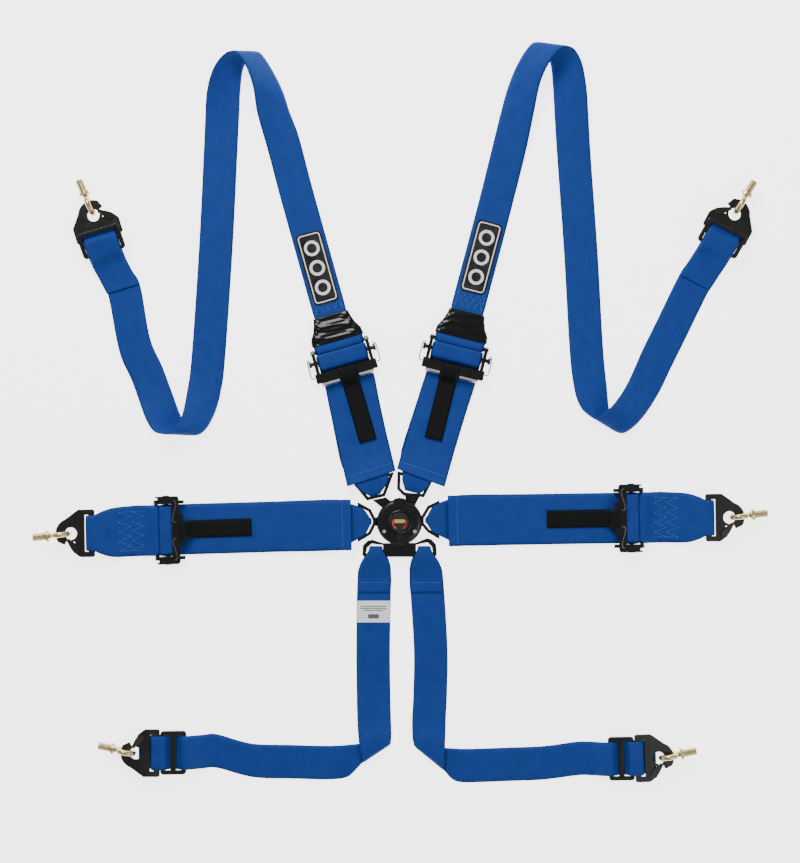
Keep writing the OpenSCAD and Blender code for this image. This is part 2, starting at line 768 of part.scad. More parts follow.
route_crotch_right = [
    [46, -184, 0.8, 0, 0, 50], [45.5, -250, 0.8, 0, 0, 50], [43.5, -292, 4, -4, 0, 50],
    [43, -322, 9.2, -18, 0, 51], [43.4, -341, 9.6, -32, 0, 54], [44, -349, 5.4, -38, 0, 56],
    [48, -351.5, 1.4, -43, 0, 56], [64, -357, 0.8, -62, 0, 52], [84, -360.5, 0.8, -82, 0, 50],
    [106, -361.2, 0.8, -90, 0, 50], [160, -359.3, 0.8, -92, 0, 50], [214, -357, 0.8, -92, 0, 50]
];

module crotch_webbing() {
    color(web_blue) {
        ribbon(concat(
            crotch_start(-1, -35, -37.5),
            route_crotch_left,
            all_placed(hook_crotch_left, crotch_end)
        ));
        ribbon(concat(
            crotch_start(1, 36.5, 40),
            route_crotch_right,
            all_placed(hook_crotch_right, crotch_end)
        ));
    }
}

module crotch_slides() {
    at_place(hook_crotch_left)
        slide(-54.5, 13, 5);
    at_place(hook_crotch_right)
        slide(-54.5, 13, 5);
}

module crotch_hooks() {
    placed_hook(hook_crotch_left, false);
    placed_hook(hook_crotch_right, false);
}

// ---- Nodes ----

back_plate();
housing();
center_post();
return_spring();
latch_pawls();
release_cam();
knob();
knob_screws();

tongue(heading_shoulder_left, neck_shoulder_left, window_shoulder_left);  // shoulder_left_tongue
at_place(adj_shoulder_left) color(web_blue) ribbon(path_shoulder_left_lower);  // shoulder_left_lower_webbing
at_place(adj_shoulder_left) lip_frame();  // shoulder_left_adjuster_frame
at_place(adj_shoulder_left) locking_bar();  // shoulder_left_locking_bar
at_place(adj_shoulder_left) edge_springs();  // shoulder_left_adjuster_springs
at_place(adj_shoulder_left) color(steel_black) ribbon(plain(shoulder_tab, 2));  // shoulder_left_pull_tab
at_place(adj_shoulder_left) end_cover();  // shoulder_left_end_cover
shoulder_upper(adj_shoulder_left, route_shoulder_left, hook_shoulder_left, 4);  // shoulder_left_upper_webbing
at_place(hook_shoulder_left) slide(-40, 19.4, 16.6);  // shoulder_left_slide
placed_hook(hook_shoulder_left, false);  // shoulder_left_hook
placed_gate(hook_shoulder_left, false);  // shoulder_left_gate
at_place(hook_shoulder_left) eye_bolt(bolt_shoulder_left);  // shoulder_left_eye_bolt

tongue(heading_shoulder_right, neck_shoulder_right, window_shoulder_right);  // shoulder_right_tongue
at_place(adj_shoulder_right) color(web_blue) ribbon(path_shoulder_right_lower);  // shoulder_right_lower_webbing
at_place(adj_shoulder_right) lip_frame();  // shoulder_right_adjuster_frame
at_place(adj_shoulder_right) locking_bar();  // shoulder_right_locking_bar
at_place(adj_shoulder_right) edge_springs();  // shoulder_right_adjuster_springs
at_place(adj_shoulder_right) color(steel_black) ribbon(plain(shoulder_tab, -3));  // shoulder_right_pull_tab
at_place(adj_shoulder_right) end_cover();  // shoulder_right_end_cover
shoulder_upper(adj_shoulder_right, route_shoulder_right, hook_shoulder_right, -2);  // shoulder_right_upper_webbing
at_place(hook_shoulder_right) slide(-40, 19.4, 16.6);  // shoulder_right_slide
placed_hook(hook_shoulder_right, true);  // shoulder_right_hook
placed_gate(hook_shoulder_right, true);  // shoulder_right_gate
at_place(hook_shoulder_right) eye_bolt(bolt_shoulder_right);  // shoulder_right_eye_bolt

tongue(heading_lap_left, neck_lap_left, window_lap_left);  // lap_left_tongue
at_place(adj_lap_left) color(web_blue) ribbon(path_lap_left);  // lap_left_webbing
at_place(adj_lap_left) plate_frame();  // lap_left_adjuster_frame
at_place(adj_lap_left) locking_bar();  // lap_left_locking_bar
at_place(adj_lap_left) plate_springs();  // lap_left_adjuster_springs
at_place(adj_lap_left) color(steel_black) ribbon(plain(lap_tab));  // lap_left_pull_tab
lap_outer(adj_lap_left, hook_lap_left);  // lap_left_outer_webbing
placed_hook(hook_lap_left, true);  // lap_left_hook
placed_gate(hook_lap_left, true);  // lap_left_gate
at_place(hook_lap_left) eye_bolt(bolt_lap_left);  // lap_left_eye_bolt

tongue(heading_lap_right, neck_lap_right, window_lap_right);  // lap_right_tongue
at_place(adj_lap_right) color(web_blue) ribbon(path_lap_right);  // lap_right_webbing
at_place(adj_lap_right) plate_frame();  // lap_right_adjuster_frame
at_place(adj_lap_right) locking_bar();  // lap_right_locking_bar
at_place(adj_lap_right) plate_springs();  // lap_right_adjuster_springs
at_place(adj_lap_right) color(steel_black) ribbon(plain(lap_tab));  // lap_right_pull_tab
lap_outer(adj_lap_right, hook_lap_right);  // lap_right_outer_webbing
placed_hook(hook_lap_right, false);  // lap_right_hook
placed_gate(hook_lap_right, false);  // lap_right_gate
at_place(hook_lap_right) eye_bolt(bolt_lap_right);  // lap_right_eye_bolt

crotch_tongue();
crotch_webbing();
crotch_slides();
crotch_hooks();
placed_gate(hook_crotch_left, false);  // crotch_left_gate
at_place(hook_crotch_left) eye_bolt(bolt_crotch_left);  // crotch_left_eye_bolt
placed_gate(hook_crotch_right, false);  // crotch_right_gate
at_place(hook_crotch_right) eye_bolt(bolt_crotch_right);  // crotch_right_eye_bolt
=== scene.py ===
"""Six point racing harness, laid flat: looks, light and camera.

The CAD frame gives the metal pieces, and every strap is rebuilt here as a woven ribbon on the
same route. Lengths are written in millimetres and turned into metres by MM.
"""

import json
import logging
import math
from dataclasses import dataclass, field
from enum import Enum

import bpy
import numpy as np
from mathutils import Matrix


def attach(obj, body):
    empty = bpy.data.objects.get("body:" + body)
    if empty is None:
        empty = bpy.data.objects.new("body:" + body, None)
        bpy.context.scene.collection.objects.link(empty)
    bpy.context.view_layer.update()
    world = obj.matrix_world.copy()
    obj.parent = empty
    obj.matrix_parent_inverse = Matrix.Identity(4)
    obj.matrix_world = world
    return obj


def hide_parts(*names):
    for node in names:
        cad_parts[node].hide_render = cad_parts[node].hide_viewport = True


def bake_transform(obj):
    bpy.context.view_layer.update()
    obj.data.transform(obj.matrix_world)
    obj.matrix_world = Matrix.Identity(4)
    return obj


logging.basicConfig(level=logging.INFO, format="%(message)s")
LOG = logging.getLogger("harness")

MM = 0.001
WIDE_WEB = 75.0
NARROW_WEB = 50.0
WEB_T = 1.6
TAB_W = 26.0
CAMERA_HEIGHT = 2.5
VIEW_CENTRE = (0.0007, 0.133)
VIEW_TALL = 1.277
SENSOR = 36.0
WARP_MM = 1.25
HOOK_Z = 16.5
KNOB_TOP = 24.0
PRINT_T = 0.25
LOOP_SECTIONS = 60

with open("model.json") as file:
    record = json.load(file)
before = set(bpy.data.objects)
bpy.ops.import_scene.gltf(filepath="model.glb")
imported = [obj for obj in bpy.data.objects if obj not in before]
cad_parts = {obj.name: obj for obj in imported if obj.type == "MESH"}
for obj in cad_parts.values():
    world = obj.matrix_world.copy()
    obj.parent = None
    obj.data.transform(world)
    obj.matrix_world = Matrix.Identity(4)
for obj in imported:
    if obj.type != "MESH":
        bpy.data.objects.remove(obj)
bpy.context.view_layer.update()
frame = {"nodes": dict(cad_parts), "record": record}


# ---------------------------------------------------------------- materials


def linear(hex_colour: str) -> tuple[float, float, float, float]:
    """Turns an sRGB hex colour into linear red, green, blue and alpha.

    Args:
        hex_colour: Six hex digits with a leading hash.
    Returns:
        The linear colour with alpha 1.
    """
    raw = [int(hex_colour[i : i + 2], 16) / 255 for i in (1, 3, 5)]
    return (*[c / 12.92 if c <= 0.04045 else ((c + 0.055) / 1.055) ** 2.4 for c in raw], 1.0)


def shader(tree, kind: str, links: dict | None = None, values: dict | None = None, **settings):
    """Adds one shader node, sets it and links its inputs.

    Args:
        tree: The node tree to add to.
        kind: The node's type name, without its ShaderNode prefix.
        links: Input name or number to output socket.
        values: Input name or number to a fixed value.
        **settings: Attributes of the node.
    Returns:
        The new node.
    """
    node = tree.nodes.new("ShaderNode" + kind)
    for key, value in settings.items():
        setattr(node, key, value)
    for key, value in (values or {}).items():
        node.inputs[key].default_value = value
    for key, socket in (links or {}).items():
        tree.links.new(socket, node.inputs[key])
    return node


def math_node(tree, operation: str, first, second=None):
    """Adds a maths node on sockets or plain numbers and gives its output."""
    node = shader(tree, "Math", operation=operation)
    for index, item in enumerate((first, second)):
        if item is None:
            continue
        if isinstance(item, (int, float)):
            node.inputs[index].default_value = item
        else:
            tree.links.new(item, node.inputs[index])
    return node.outputs[0]


def new_material(name: str):
    """Gives an empty material, its tree and its Principled shader."""
    material = bpy.data.materials.new(name)
    material.use_nodes = True
    tree = material.node_tree
    tree.nodes.clear()
    surface = shader(tree, "BsdfPrincipled")
    shader(tree, "OutputMaterial", {"Surface": surface.outputs[0]})
    return material, tree, surface


@dataclass(frozen=True)
class Metal:
    """One metal or plastic finish.

    Attributes:
        name: Material and process.
        colour: Base colour in the flat.
        edge: Colour of worn or bright edges.
        metallic: 1 for bare or plated metal, 0 for paint.
        roughness: Middle roughness.
        grain_mm: Size of the surface's mottling.
        bump_mm: Height of the mottling.
        coat: Clear coat weight.
        specular: Specular level of the surface under the coat.
    """

    name: str
    colour: str
    edge: str
    metallic: float
    roughness: float
    grain_mm: float
    bump_mm: float
    coat: float = 0.0
    specular: float = 0.5

    def build(self):
        """Builds the material: mottled roughness, worn edges and a fine bump."""
        material, tree, surface = new_material(self.name)
        place = shader(tree, "TexCoord").outputs["Object"]
        noise = shader(
            tree, "TexNoise", {"Vector": place}, {"Scale": 1 / (self.grain_mm * MM), "Detail": 4.0}
        )
        smudge = shader(tree, "TexNoise", {"Vector": place}, {"Scale": 60.0, "Detail": 3.0})
        wear = shader(tree, "NewGeometry").outputs["Pointiness"]
        worn = shader(tree, "MapRange", {"Value": wear}, {"From Min": 0.52, "From Max": 0.62}).outputs[0]
        mix = shader(tree, "Mix", data_type="RGBA")
        tree.links.new(worn, mix.inputs["Factor"])
        mix.inputs[6].default_value = linear(self.colour)
        mix.inputs[7].default_value = linear(self.edge)
        tree.links.new(mix.outputs[2], surface.inputs["Base Color"])
        rough = shader(
            tree, "MapRange", {"Value": smudge.outputs[0]},
            {
                "From Min": 0.3, "From Max": 0.7,
                "To Min": self.roughness * 0.75, "To Max": self.roughness * 1.3,
            },
        )
        tree.links.new(rough.outputs[0], surface.inputs["Roughness"])
        bump = shader(
            tree, "Bump", {"Height": noise.outputs[0]}, {"Strength": 0.35, "Distance": self.bump_mm * MM}
        )
        tree.links.new(bump.outputs[0], surface.inputs["Normal"])
        surface.inputs["Metallic"].default_value = self.metallic
        surface.inputs["Specular IOR Level"].default_value = self.specular
        surface.inputs["Coat Weight"].default_value = self.coat
        surface.inputs["Coat Roughness"].default_value = 0.12
        return material


@dataclass(frozen=True)
class Weave:
    """One woven webbing.

    Attributes:
        name: Material and process.
        yarn: Colour of the raised yarns.
        valley_shade: Colour between the yarns, a painted shade darker than the yarn colour.
        rib_mm: Spacing of the slanted ribs.
        slope: Rise of the ribs across the strap.
        pick_mm: Spacing of the fine cross yarns.
        sheen: Sheen weight.
    """

    name: str
    yarn: str
    valley_shade: str
    rib_mm: float
    slope: float
    pick_mm: float
    sheen: float

    def build(self):
        """Builds the weave from the ribbon's own lengths.

        The map runs in metres along and across the strap. Slanted ribs and fine cross yarns are two
        sine waves; their sum sets the height and the mix of the two colours: the low parts get the
        darker painted shade of the hollows between yarns, and a noise adds random colour variation.
        """
        material, tree, surface = new_material(self.name)
        uv = shader(tree, "UVMap", uv_map="weave").outputs[0]
        parts = shader(tree, "SeparateXYZ", {0: uv})
        across, along = parts.outputs[0], parts.outputs[1]

        def wave(socket, pitch_mm: float):
            """Gives a sine wave of one pitch along a length, from 0 to 1."""
            turn = math_node(tree, "MULTIPLY", socket, 2 * math.pi / (pitch_mm * MM))
            half = math_node(tree, "MULTIPLY", math_node(tree, "SINE", turn), 0.5)
            return math_node(tree, "ADD", half, 0.5)

        def ribs(slope: float, pitch_mm: float):
            """Gives ribs that lean across the strap by a slope."""
            return wave(math_node(tree, "ADD", along, math_node(tree, "MULTIPLY", across, slope)), pitch_mm)

        def mixed(first, share: float, second, rest: float):
            """Gives the weighted sum of two sockets."""
            scaled = math_node(tree, "MULTIPLY", first, share)
            return math_node(tree, "ADD", scaled, math_node(tree, "MULTIPLY", second, rest))

        slant = ribs(self.slope, self.rib_mm)
        picks = ribs(0.0, self.pick_mm)
        fine = math_node(tree, "MULTIPLY", picks, wave(across, WARP_MM))
        height = mixed(slant, 0.55, fine, 0.45)
        blotch = shader(tree, "TexNoise", {"Vector": uv}, {"Scale": 45.0, "Detail": 3.0}).outputs[0]
        # Painted shade: the low parts of the weave are mixed towards the darker colour; the noise is random
        # variation.
        valley_shade_and_blotch = mixed(height, 0.75, blotch, 0.35)
        ramp = shader(tree, "ValToRGB", {"Fac": valley_shade_and_blotch})
        ramp.color_ramp.elements[0].position = 0.12
        ramp.color_ramp.elements[0].color = linear(self.valley_shade)
        ramp.color_ramp.elements[1].position = 0.85
        ramp.color_ramp.elements[1].color = linear(self.yarn)
        tree.links.new(ramp.outputs[0], surface.inputs["Base Color"])
        bump = shader(tree, "Bump", {"Height": height}, {"Strength": 0.55, "Distance": 0.35 * MM})
        tree.links.new(bump.outputs[0], surface.inputs["Normal"])
        surface.inputs["Roughness"].default_value = 0.72
        surface.inputs["Specular IOR Level"].default_value = 0.15
        surface.inputs["Sheen Weight"].default_value = self.sheen
        surface.inputs["Sheen Roughness"].default_value = 0.4
        surface.inputs["Sheen Tint"].default_value = linear(self.yarn)
        return material


class Finish(Enum):
    """Every finish in the scene."""

    # Each weave's second colour is a painted shade for the hollows between its yarns.
    WEB_BLUE = Weave("polyester_webbing_blue", "#1E4596", "#0B2B6A", 4.4, 0.9, 1.5, 0.03)
    WEB_BLACK = Weave("polyester_webbing_black", "#121314", "#030304", 3.2, 0.0, 1.4, 0.03)
    THREAD_BLUE = Metal("bonded_thread_blue", "#4A86CC", "#7FAEE2", 0.0, 0.55, 0.6, 0.05)
    THREAD_WHITE = Metal("bonded_thread_white", "#E8E8E6", "#FFFFFF", 0.0, 0.6, 0.6, 0.05)
    PATCH_BLACK = Metal("embroidered_patch_black", "#0B0B0C", "#1A1A1A", 0.0, 0.8, 0.8, 0.12)
    LABEL_WHITE = Metal("printed_satin_label", "#E9EAEC", "#F4F4F4", 0.0, 0.7, 0.7, 0.05)
    LABEL_GREY = Metal("label_print_grey", "#55585C", "#66696D", 0.0, 0.7, 0.7, 0.02)
    GLOSS_BLACK = Metal("powder_coated_steel_black", "#050506", "#161617", 0.0, 0.2, 1.5, 0.03, 0.12, 0.3)
    PHOSPHATE = Metal("blackened_steel_satin", "#0B0A09", "#2C2926", 0.0, 0.3, 1.2, 0.04, 0.06, 0.35)
    ZINC_WHITE = Metal("zinc_plated_steel", "#C9C8C4", "#F0EFEA", 1.0, 0.28, 1.0, 0.02)
    ZINC_YELLOW = Metal("yellow_chromate_zinc_steel", "#C4B184", "#EFE2BC", 1.0, 0.24, 1.6, 0.03)
    KNOB_BLACK = Metal("satin_black_zinc_casting", "#060607", "#1C1C1C", 0.0, 0.3, 0.8, 0.03, 0.04, 0.3)
    VINYL = Metal("gloss_vinyl_sleeve", "#040404", "#0C0C0D", 0.0, 0.2, 6.0, 0.9, 0.15, 0.2)
    SPRING_WIRE = Metal("drawn_spring_steel_wire", "#3C3A37", "#6A6763", 1.0, 0.34, 0.8, 0.02)
    # Painted highlight: bright steel for the thin strips laid on the adjuster lips.
    EDGE_BRIGHT = Metal("painted_highlight_steel", "#B9B4AA", "#E6E4DE", 1.0, 0.3, 1.2, 0.03)
    BADGE_GOLD = Metal("gold_print", "#B98A2B", "#E0B95A", 0.6, 0.35, 0.8, 0.01)
    BADGE_RED = Metal("red_print", "#9E1B16", "#C53A30", 0.0, 0.4, 0.8, 0.01)

    def material(self):
        """Gives this finish's material, built once."""
        return bpy.data.materials.get(self.value.name) or self.value.build()


# ---------------------------------------------------------------- places and curves


@dataclass(frozen=True)
class Place:
    """A local frame on the floor: x, y in mm and a turn in degrees; local +Y points outwards."""

    x: float
    y: float
    turn: float

    def stations(self, rows) -> list[list[float]]:
        """Moves local stations [x, y, z, heading, tilt, width] into the shared frame."""
        c, s = math.cos(math.radians(self.turn)), math.sin(math.radians(self.turn))
        return [
            [self.x + q[0] * c - q[1] * s, self.y + q[0] * s + q[1] * c, q[2], q[3] + self.turn, q[4], q[5]]
            for q in rows
        ]

    def moved(self, flat: np.ndarray) -> np.ndarray:
        """Moves an array of local points into the shared frame, all in mm."""
        c, s = math.cos(math.radians(self.turn)), math.sin(math.radians(self.turn))
        x = self.x + flat[:, 0] * c - flat[:, 1] * s
        y = self.y + flat[:, 0] * s + flat[:, 1] * c
        return np.stack([x, y, flat[:, 2]], 1)

    def point(self, u: float, v: float, z: float = 0.0) -> tuple[float, float, float]:
        """Gives a local point in the shared frame, in metres."""
        row = self.stations([[u, v, z, 0, 0, 0]])[0]
        return tuple(c * MM for c in row[:3])


ADJUSTER = {
    "shoulder_left": Place(-84.4, 244.2, 16),
    "shoulder_right": Place(84.4, 247.9, -14),
    "lap_left": Place(-342.6, -12.4, 91.9),
    "lap_right": Place(341.6, 5.5, -89),
}
HOOK = {
    "shoulder_left": Place(-449.8, 450.5, 17),
    "shoulder_right": Place(492.5, 452.5, -27.5),
    "lap_left": Place(-483, -17, 91),
    "lap_right": Place(484.7, 6.8, -89),
    "crotch_left": Place(-387.5, -339.7, 90),
    "crotch_right": Place(381, -346.5, -88),
}


def plain(rows, side: float = 0.0) -> list[list[float]]:
    """Turns [y, z, width] rows into straight stations at one side shift."""
    return [[side, q[0], q[1], 0, 0, q[2]] for q in rows]


def spline(stations, steps: int) -> np.ndarray:
    """Runs a Catmull-Rom curve through all stations.

    Each span uses the cubic 0.5 (2b + (c-a)u + (2a-5b+4c-d)u^2 + (3b-a-3c+d)u^3) over its four
    neighbouring stations, with the end stations doubled.
    """
    s = np.asarray(stations, float)
    s = np.vstack([s[:1], s, s[-1:]])
    u = np.linspace(0, 1, steps, endpoint=False)[:, None]
    spans = []
    for i in range(1, len(s) - 2):
        a, b, c, d = s[i - 1 : i + 3]
        bend, twist = 2 * a - 5 * b + 4 * c - d, 3 * b - a - 3 * c + d
        spans.append(0.5 * (2 * b + (c - a) * u + bend * u**2 + twist * u**3))
    return np.vstack(spans + [s[-2:-1]])


def mesh_object(name: str, points: np.ndarray, faces: list, material, smooth: bool = True):
    """Makes a mesh object at the origin from points in metres."""
    mesh = bpy.data.meshes.new(name)
    mesh.from_pydata([tuple(p) for p in points], [], faces)
    mesh.validate()
    mesh.update()
    mesh.polygons.foreach_set("use_smooth", [smooth] * len(mesh.polygons))
    mesh.materials.append(material)
    obj = bpy.data.objects.new(name, mesh)
    bpy.context.scene.collection.objects.link(obj)
    return obj


def ring_faces(rings: int, n: int) -> list:
    """Gives the four-sided faces between following rings of n points each."""
    return [
        (i * n + k, i * n + (k + 1) % n, (i + 1) * n + (k + 1) % n, (i + 1) * n + k)
        for i in range(rings - 1) for k in range(n)
    ]


@dataclass
class Ribbon:
    """A woven strap on a route of stations.

    Attributes:
        name: Name of the piece.
        stations: Rows of x, y, z, heading, tilt and width in mm and degrees.
        thick: Thickness in mm.
        steps: Sections between two stations.
        columns: Columns across one face.
        finish: The weave.
    """

    name: str
    stations: list
    thick: float = WEB_T
    steps: int = 8
    columns: int = 12
    finish: Finish = Finish.WEB_BLUE
    path: np.ndarray = field(init=False)
    along: np.ndarray = field(init=False)

    def __post_init__(self) -> None:
        """Runs the curve and sets the across and up directions of every section."""
        self.path = spline(self.stations, self.steps)
        p = self.path[:, :3]
        self.along = np.concatenate([[0], np.cumsum(np.linalg.norm(np.diff(p, axis=0), axis=1))])
        run = np.gradient(p, axis=0)
        run /= np.linalg.norm(run, axis=1)[:, None]
        head, tilt = np.radians(self.path[:, 3]), np.radians(self.path[:, 4])
        self.cross = np.stack([np.cos(head) * np.cos(tilt), np.sin(head) * np.cos(tilt), np.sin(tilt)], 1)
        self.up = np.cross(self.cross, run)
        self.up /= np.linalg.norm(self.up, axis=1)[:, None]

    @property
    def length(self) -> float:
        """Length along the middle, in metres."""
        return float(self.along[-1]) * MM

    def surface(self, s_mm: float, across_mm: float, lift_mm: float = 0.0) -> np.ndarray:
        """Gives a point on the upper face in mm: s_mm along, across_mm from the middle."""
        at = [np.interp(s_mm, self.along, self.path[:, k]) for k in range(3)]
        c = np.array([np.interp(s_mm, self.along, self.cross[:, k]) for k in range(3)])
        n = np.array([np.interp(s_mm, self.along, self.up[:, k]) for k in range(3)])
        n *= 1.0 if n[2] >= 0 else -1.0
        rise = n / np.linalg.norm(n) * (self.thick / 2 + lift_mm)
        return np.array(at) + c / np.linalg.norm(c) * across_mm + rise

    def build(self):
        """Builds the strap as one closed mesh.

        Each section is a flat oval with even spacing across. Its half height is thick/2 times
        (1 - |t|^10)^0.35, so that the edges are round and the faces flat.
        """
        t = np.linspace(-1, 1, self.columns + 1)
        half = self.thick / 2
        swell = (1 - np.abs(t) ** 10) ** 0.35
        ring_t = np.concatenate([t, t[-2:0:-1]])
        ring_h = np.concatenate([swell, -swell[-2:0:-1]]) * half
        n, m = len(self.path), len(ring_t)
        w = self.path[:, 5][:, None, None] / 2
        pts = (
            self.path[:, None, :3]
            + self.cross[:, None, :] * (ring_t[None, :, None] * w)
            + self.up[:, None, :] * ring_h[None, :, None]
        ) * MM
        flat = pts.reshape(-1, 3)
        faces, uvs = [], []
        full = float(np.max(self.path[:, 5])) / 2
        for i in range(n - 1):
            v0, v1 = self.along[i] * MM, self.along[i + 1] * MM
            for k in range(m):
                k2 = (k + 1) % m
                faces.append((i * m + k, i * m + k2, (i + 1) * m + k2, (i + 1) * m + k))
                u0, u1 = ring_t[k] * full * MM, ring_t[k2] * full * MM
                uvs += [(u0, v0), (u1, v0), (u1, v1), (u0, v1)]
        for base, order in ((0, range(m - 1, -1, -1)), ((n - 1) * m, range(m))):
            ring = list(order)
            faces.append(tuple(base + k for k in ring))
            uvs += [(ring_t[k] * full * MM, (0 if base == 0 else self.along[-1] * MM)) for k in ring]
        obj = mesh_object(self.name, flat, faces, self.finish.material())
        layer = obj.data.uv_layers.new(name="weave")
        layer.data.foreach_set("uv", np.asarray(uvs, np.float32).ravel())
        ends = [len(obj.data.polygons) - 2, len(obj.data.polygons) - 1]
        for e in ends:
            obj.data.polygons[e].use_smooth = False
        LOG.info("%s: %.0f mm long", self.name, self.along[-1])
        return obj


def stitches(
    name: str, ribbon: Ribbon, lines: list, finish: Finish, pitch: float = 4.2, body: str = "buckle"
):
    """Sews thread along lines on a strap's upper face.

    Args:
        name: Name of the piece.
        ribbon: The strap.
        lines: Polylines of (along, across) in mm.
        finish: The thread.
        pitch: Stitch length in mm.
        body: The body that it moves with.
    Returns:
        One mesh with every stitch as a small six-sided bead.
    """
    pts, faces = [], []
    for line in lines:
        line = np.asarray(line, float)
        for a, b in zip(line[:-1], line[1:]):
            count = max(1, int(np.linalg.norm(b - a) / pitch))
            for k in range(count):
                p0 = a + (b - a) * (k + 0.12) / count
                p1 = a + (b - a) * (k + 0.88) / count
                q0, q1 = ribbon.surface(*p0), ribbon.surface(*p1)
                mid = ribbon.surface(*((p0 + p1) / 2), 0.35)
                run = (q1 - q0) / max(np.linalg.norm(q1 - q0), 1e-6)
                n = mid - (q0 + q1) / 2
                n /= max(np.linalg.norm(n), 1e-6)
                side = np.cross(n, run) * 0.42
                base = len(pts)
                pts += [q0, mid - n * 0.25 + side, mid, mid - n * 0.25 - side, q1, mid - n * 0.6]
                faces += [
                    (base, base + 1, base + 2), (base, base + 2, base + 3), (base + 4, base + 2, base + 1),
                    (base + 4, base + 3, base + 2), (base, base + 5, base + 1), (base, base + 3, base + 5),
                    (base + 4, base + 1, base + 5), (base + 4, base + 5, base + 3),
                ]
    obj = mesh_object(name, np.asarray(pts) * MM, faces, finish.material())
    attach(obj, body)
    return obj


def zigzag(s0: float, s1: float, half: float, rows: int) -> list:
    """Gives a W shaped sewing pattern between two distances along a strap."""
    lines = []
    for r in range(rows):
        a = s0 + (s1 - s0) * r / rows
        b = s0 + (s1 - s0) * (r + 1) / rows
        lines.append([(a if k % 2 == 0 else b, -half + 2 * half * k / 8) for k in range(9)])
    lines.append([(s0, -half), (s1, -half)])
    lines.append([(s0, half), (s1, half)])
    return lines


# ---------------------------------------------------------------- hardware


def carried(node: str, finish: Finish, bevel_mm: float = 0.0) -> None:
    """Gives a CAD node its finish, with bevelled edges where wanted.

    Args:
        node: Name of the CAD node.
        finish: The finish.
        bevel_mm: Width of the edge rounding, or 0 for none.
    """
    source = frame["nodes"][node]
    if not bevel_mm:
        source.data.materials.clear()
        source.data.materials.append(finish.material())
        return
    mesh = source.data.copy()
    mesh.materials.clear()
    mesh.materials.append(finish.material())
    obj = bpy.data.objects.new("finished_" + node, mesh)
    obj.matrix_world = source.matrix_world.copy()
    bpy.context.scene.collection.objects.link(obj)
    mesh.transform(obj.matrix_world)
    obj.matrix_world.identity()
    bm_merge(mesh)
    rounding = obj.modifiers.new("rounding", "BEVEL")
    rounding.width = bevel_mm * MM
    rounding.segments = 2
    rounding.limit_method = "ANGLE"
    rounding.angle_limit = math.radians(35)
    rounding.use_clamp_overlap = True
    mesh.polygons.foreach_set("use_smooth", [True] * len(mesh.polygons))
    weighted = obj.modifiers.new("weighted", "WEIGHTED_NORMAL")
    weighted.keep_sharp = True
    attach(obj, body_name(node))
    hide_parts(node)


def bm_merge(mesh) -> None:
    """Merges the doubled vertices of a CAD copy."""
    import bmesh

    bm = bmesh.new()
    bm.from_mesh(mesh)
    bmesh.ops.remove_doubles(bm, verts=bm.verts, dist=1e-6)
    bm.to_mesh(mesh)
    bm.free()


BOLT_TURN = {
    "shoulder_left": 6, "shoulder_right": -4, "lap_left": 6,
    "lap_right": 6, "crotch_left": -12, "crotch_right": 9,
}


def bolt_thread(side: str) -> None:
    """Cuts the look of a 20 turns per inch thread round an anchor bolt's shank.

    The surface turns about the shank's axis; its radius goes between a root and a crest with a
    triangle wave of 1.27 mm pitch that slips one pitch in each turn, so the ridge is a helix.
    """
    pitch, root, crest, start, long, pivot_y = 1.27, 5.58, 6.05, 36.05, 19.9, 3.75
    turns, rows = 28, 16 * 8
    a = np.linspace(0, 2 * np.pi, turns, endpoint=False)
    v = np.linspace(0, long, rows)
    wave = np.abs(((v[:, None] / pitch - a[None, :] / (2 * np.pi)) % 1.0) * 2 - 1)
    fade = np.minimum(1, np.minimum(v, long - v) / 1.2)[:, None]
    r = root + (crest - root) * wave * fade
    hook, lean = HOOK[side], math.radians(BOLT_TURN[side])
    along = (start - pivot_y + v)[:, None] * np.ones_like(r)
    local = np.stack([r * np.cos(a), along, r * np.sin(a)], -1).reshape(-1, 3)
    x = local[:, 0] * math.cos(lean) - local[:, 1] * math.sin(lean)
    y = local[:, 0] * math.sin(lean) + local[:, 1] * math.cos(lean) + pivot_y
    pts = hook.moved(np.stack([x, y, local[:, 2] + HOOK_Z], 1))
    faces = ring_faces(rows, turns)
    faces.append(tuple(range(turns - 1, -1, -1)))
    faces.append(tuple((rows - 1) * turns + k for k in range(turns)))
    obj = mesh_object(side + "_bolt_thread", pts * MM, faces, Finish.ZINC_YELLOW.material())
    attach(obj, side + "_eye_bolt")


def body_name(node: str) -> str:
    """Gives the body of a CAD node."""
    for name, members in frame["record"]["behaviour"]["bodies"].items():
        if node in members:
            return name
    raise KeyError(node)


# ---------------------------------------------------------------- straps


def at_x(rows, x: float, turn: float = 0.0) -> list[list[float]]:
    """Turns [y, z, width] rows into stations at one x and heading."""
    return [[x, q[0], q[1], turn, 0, q[2]] for q in rows]


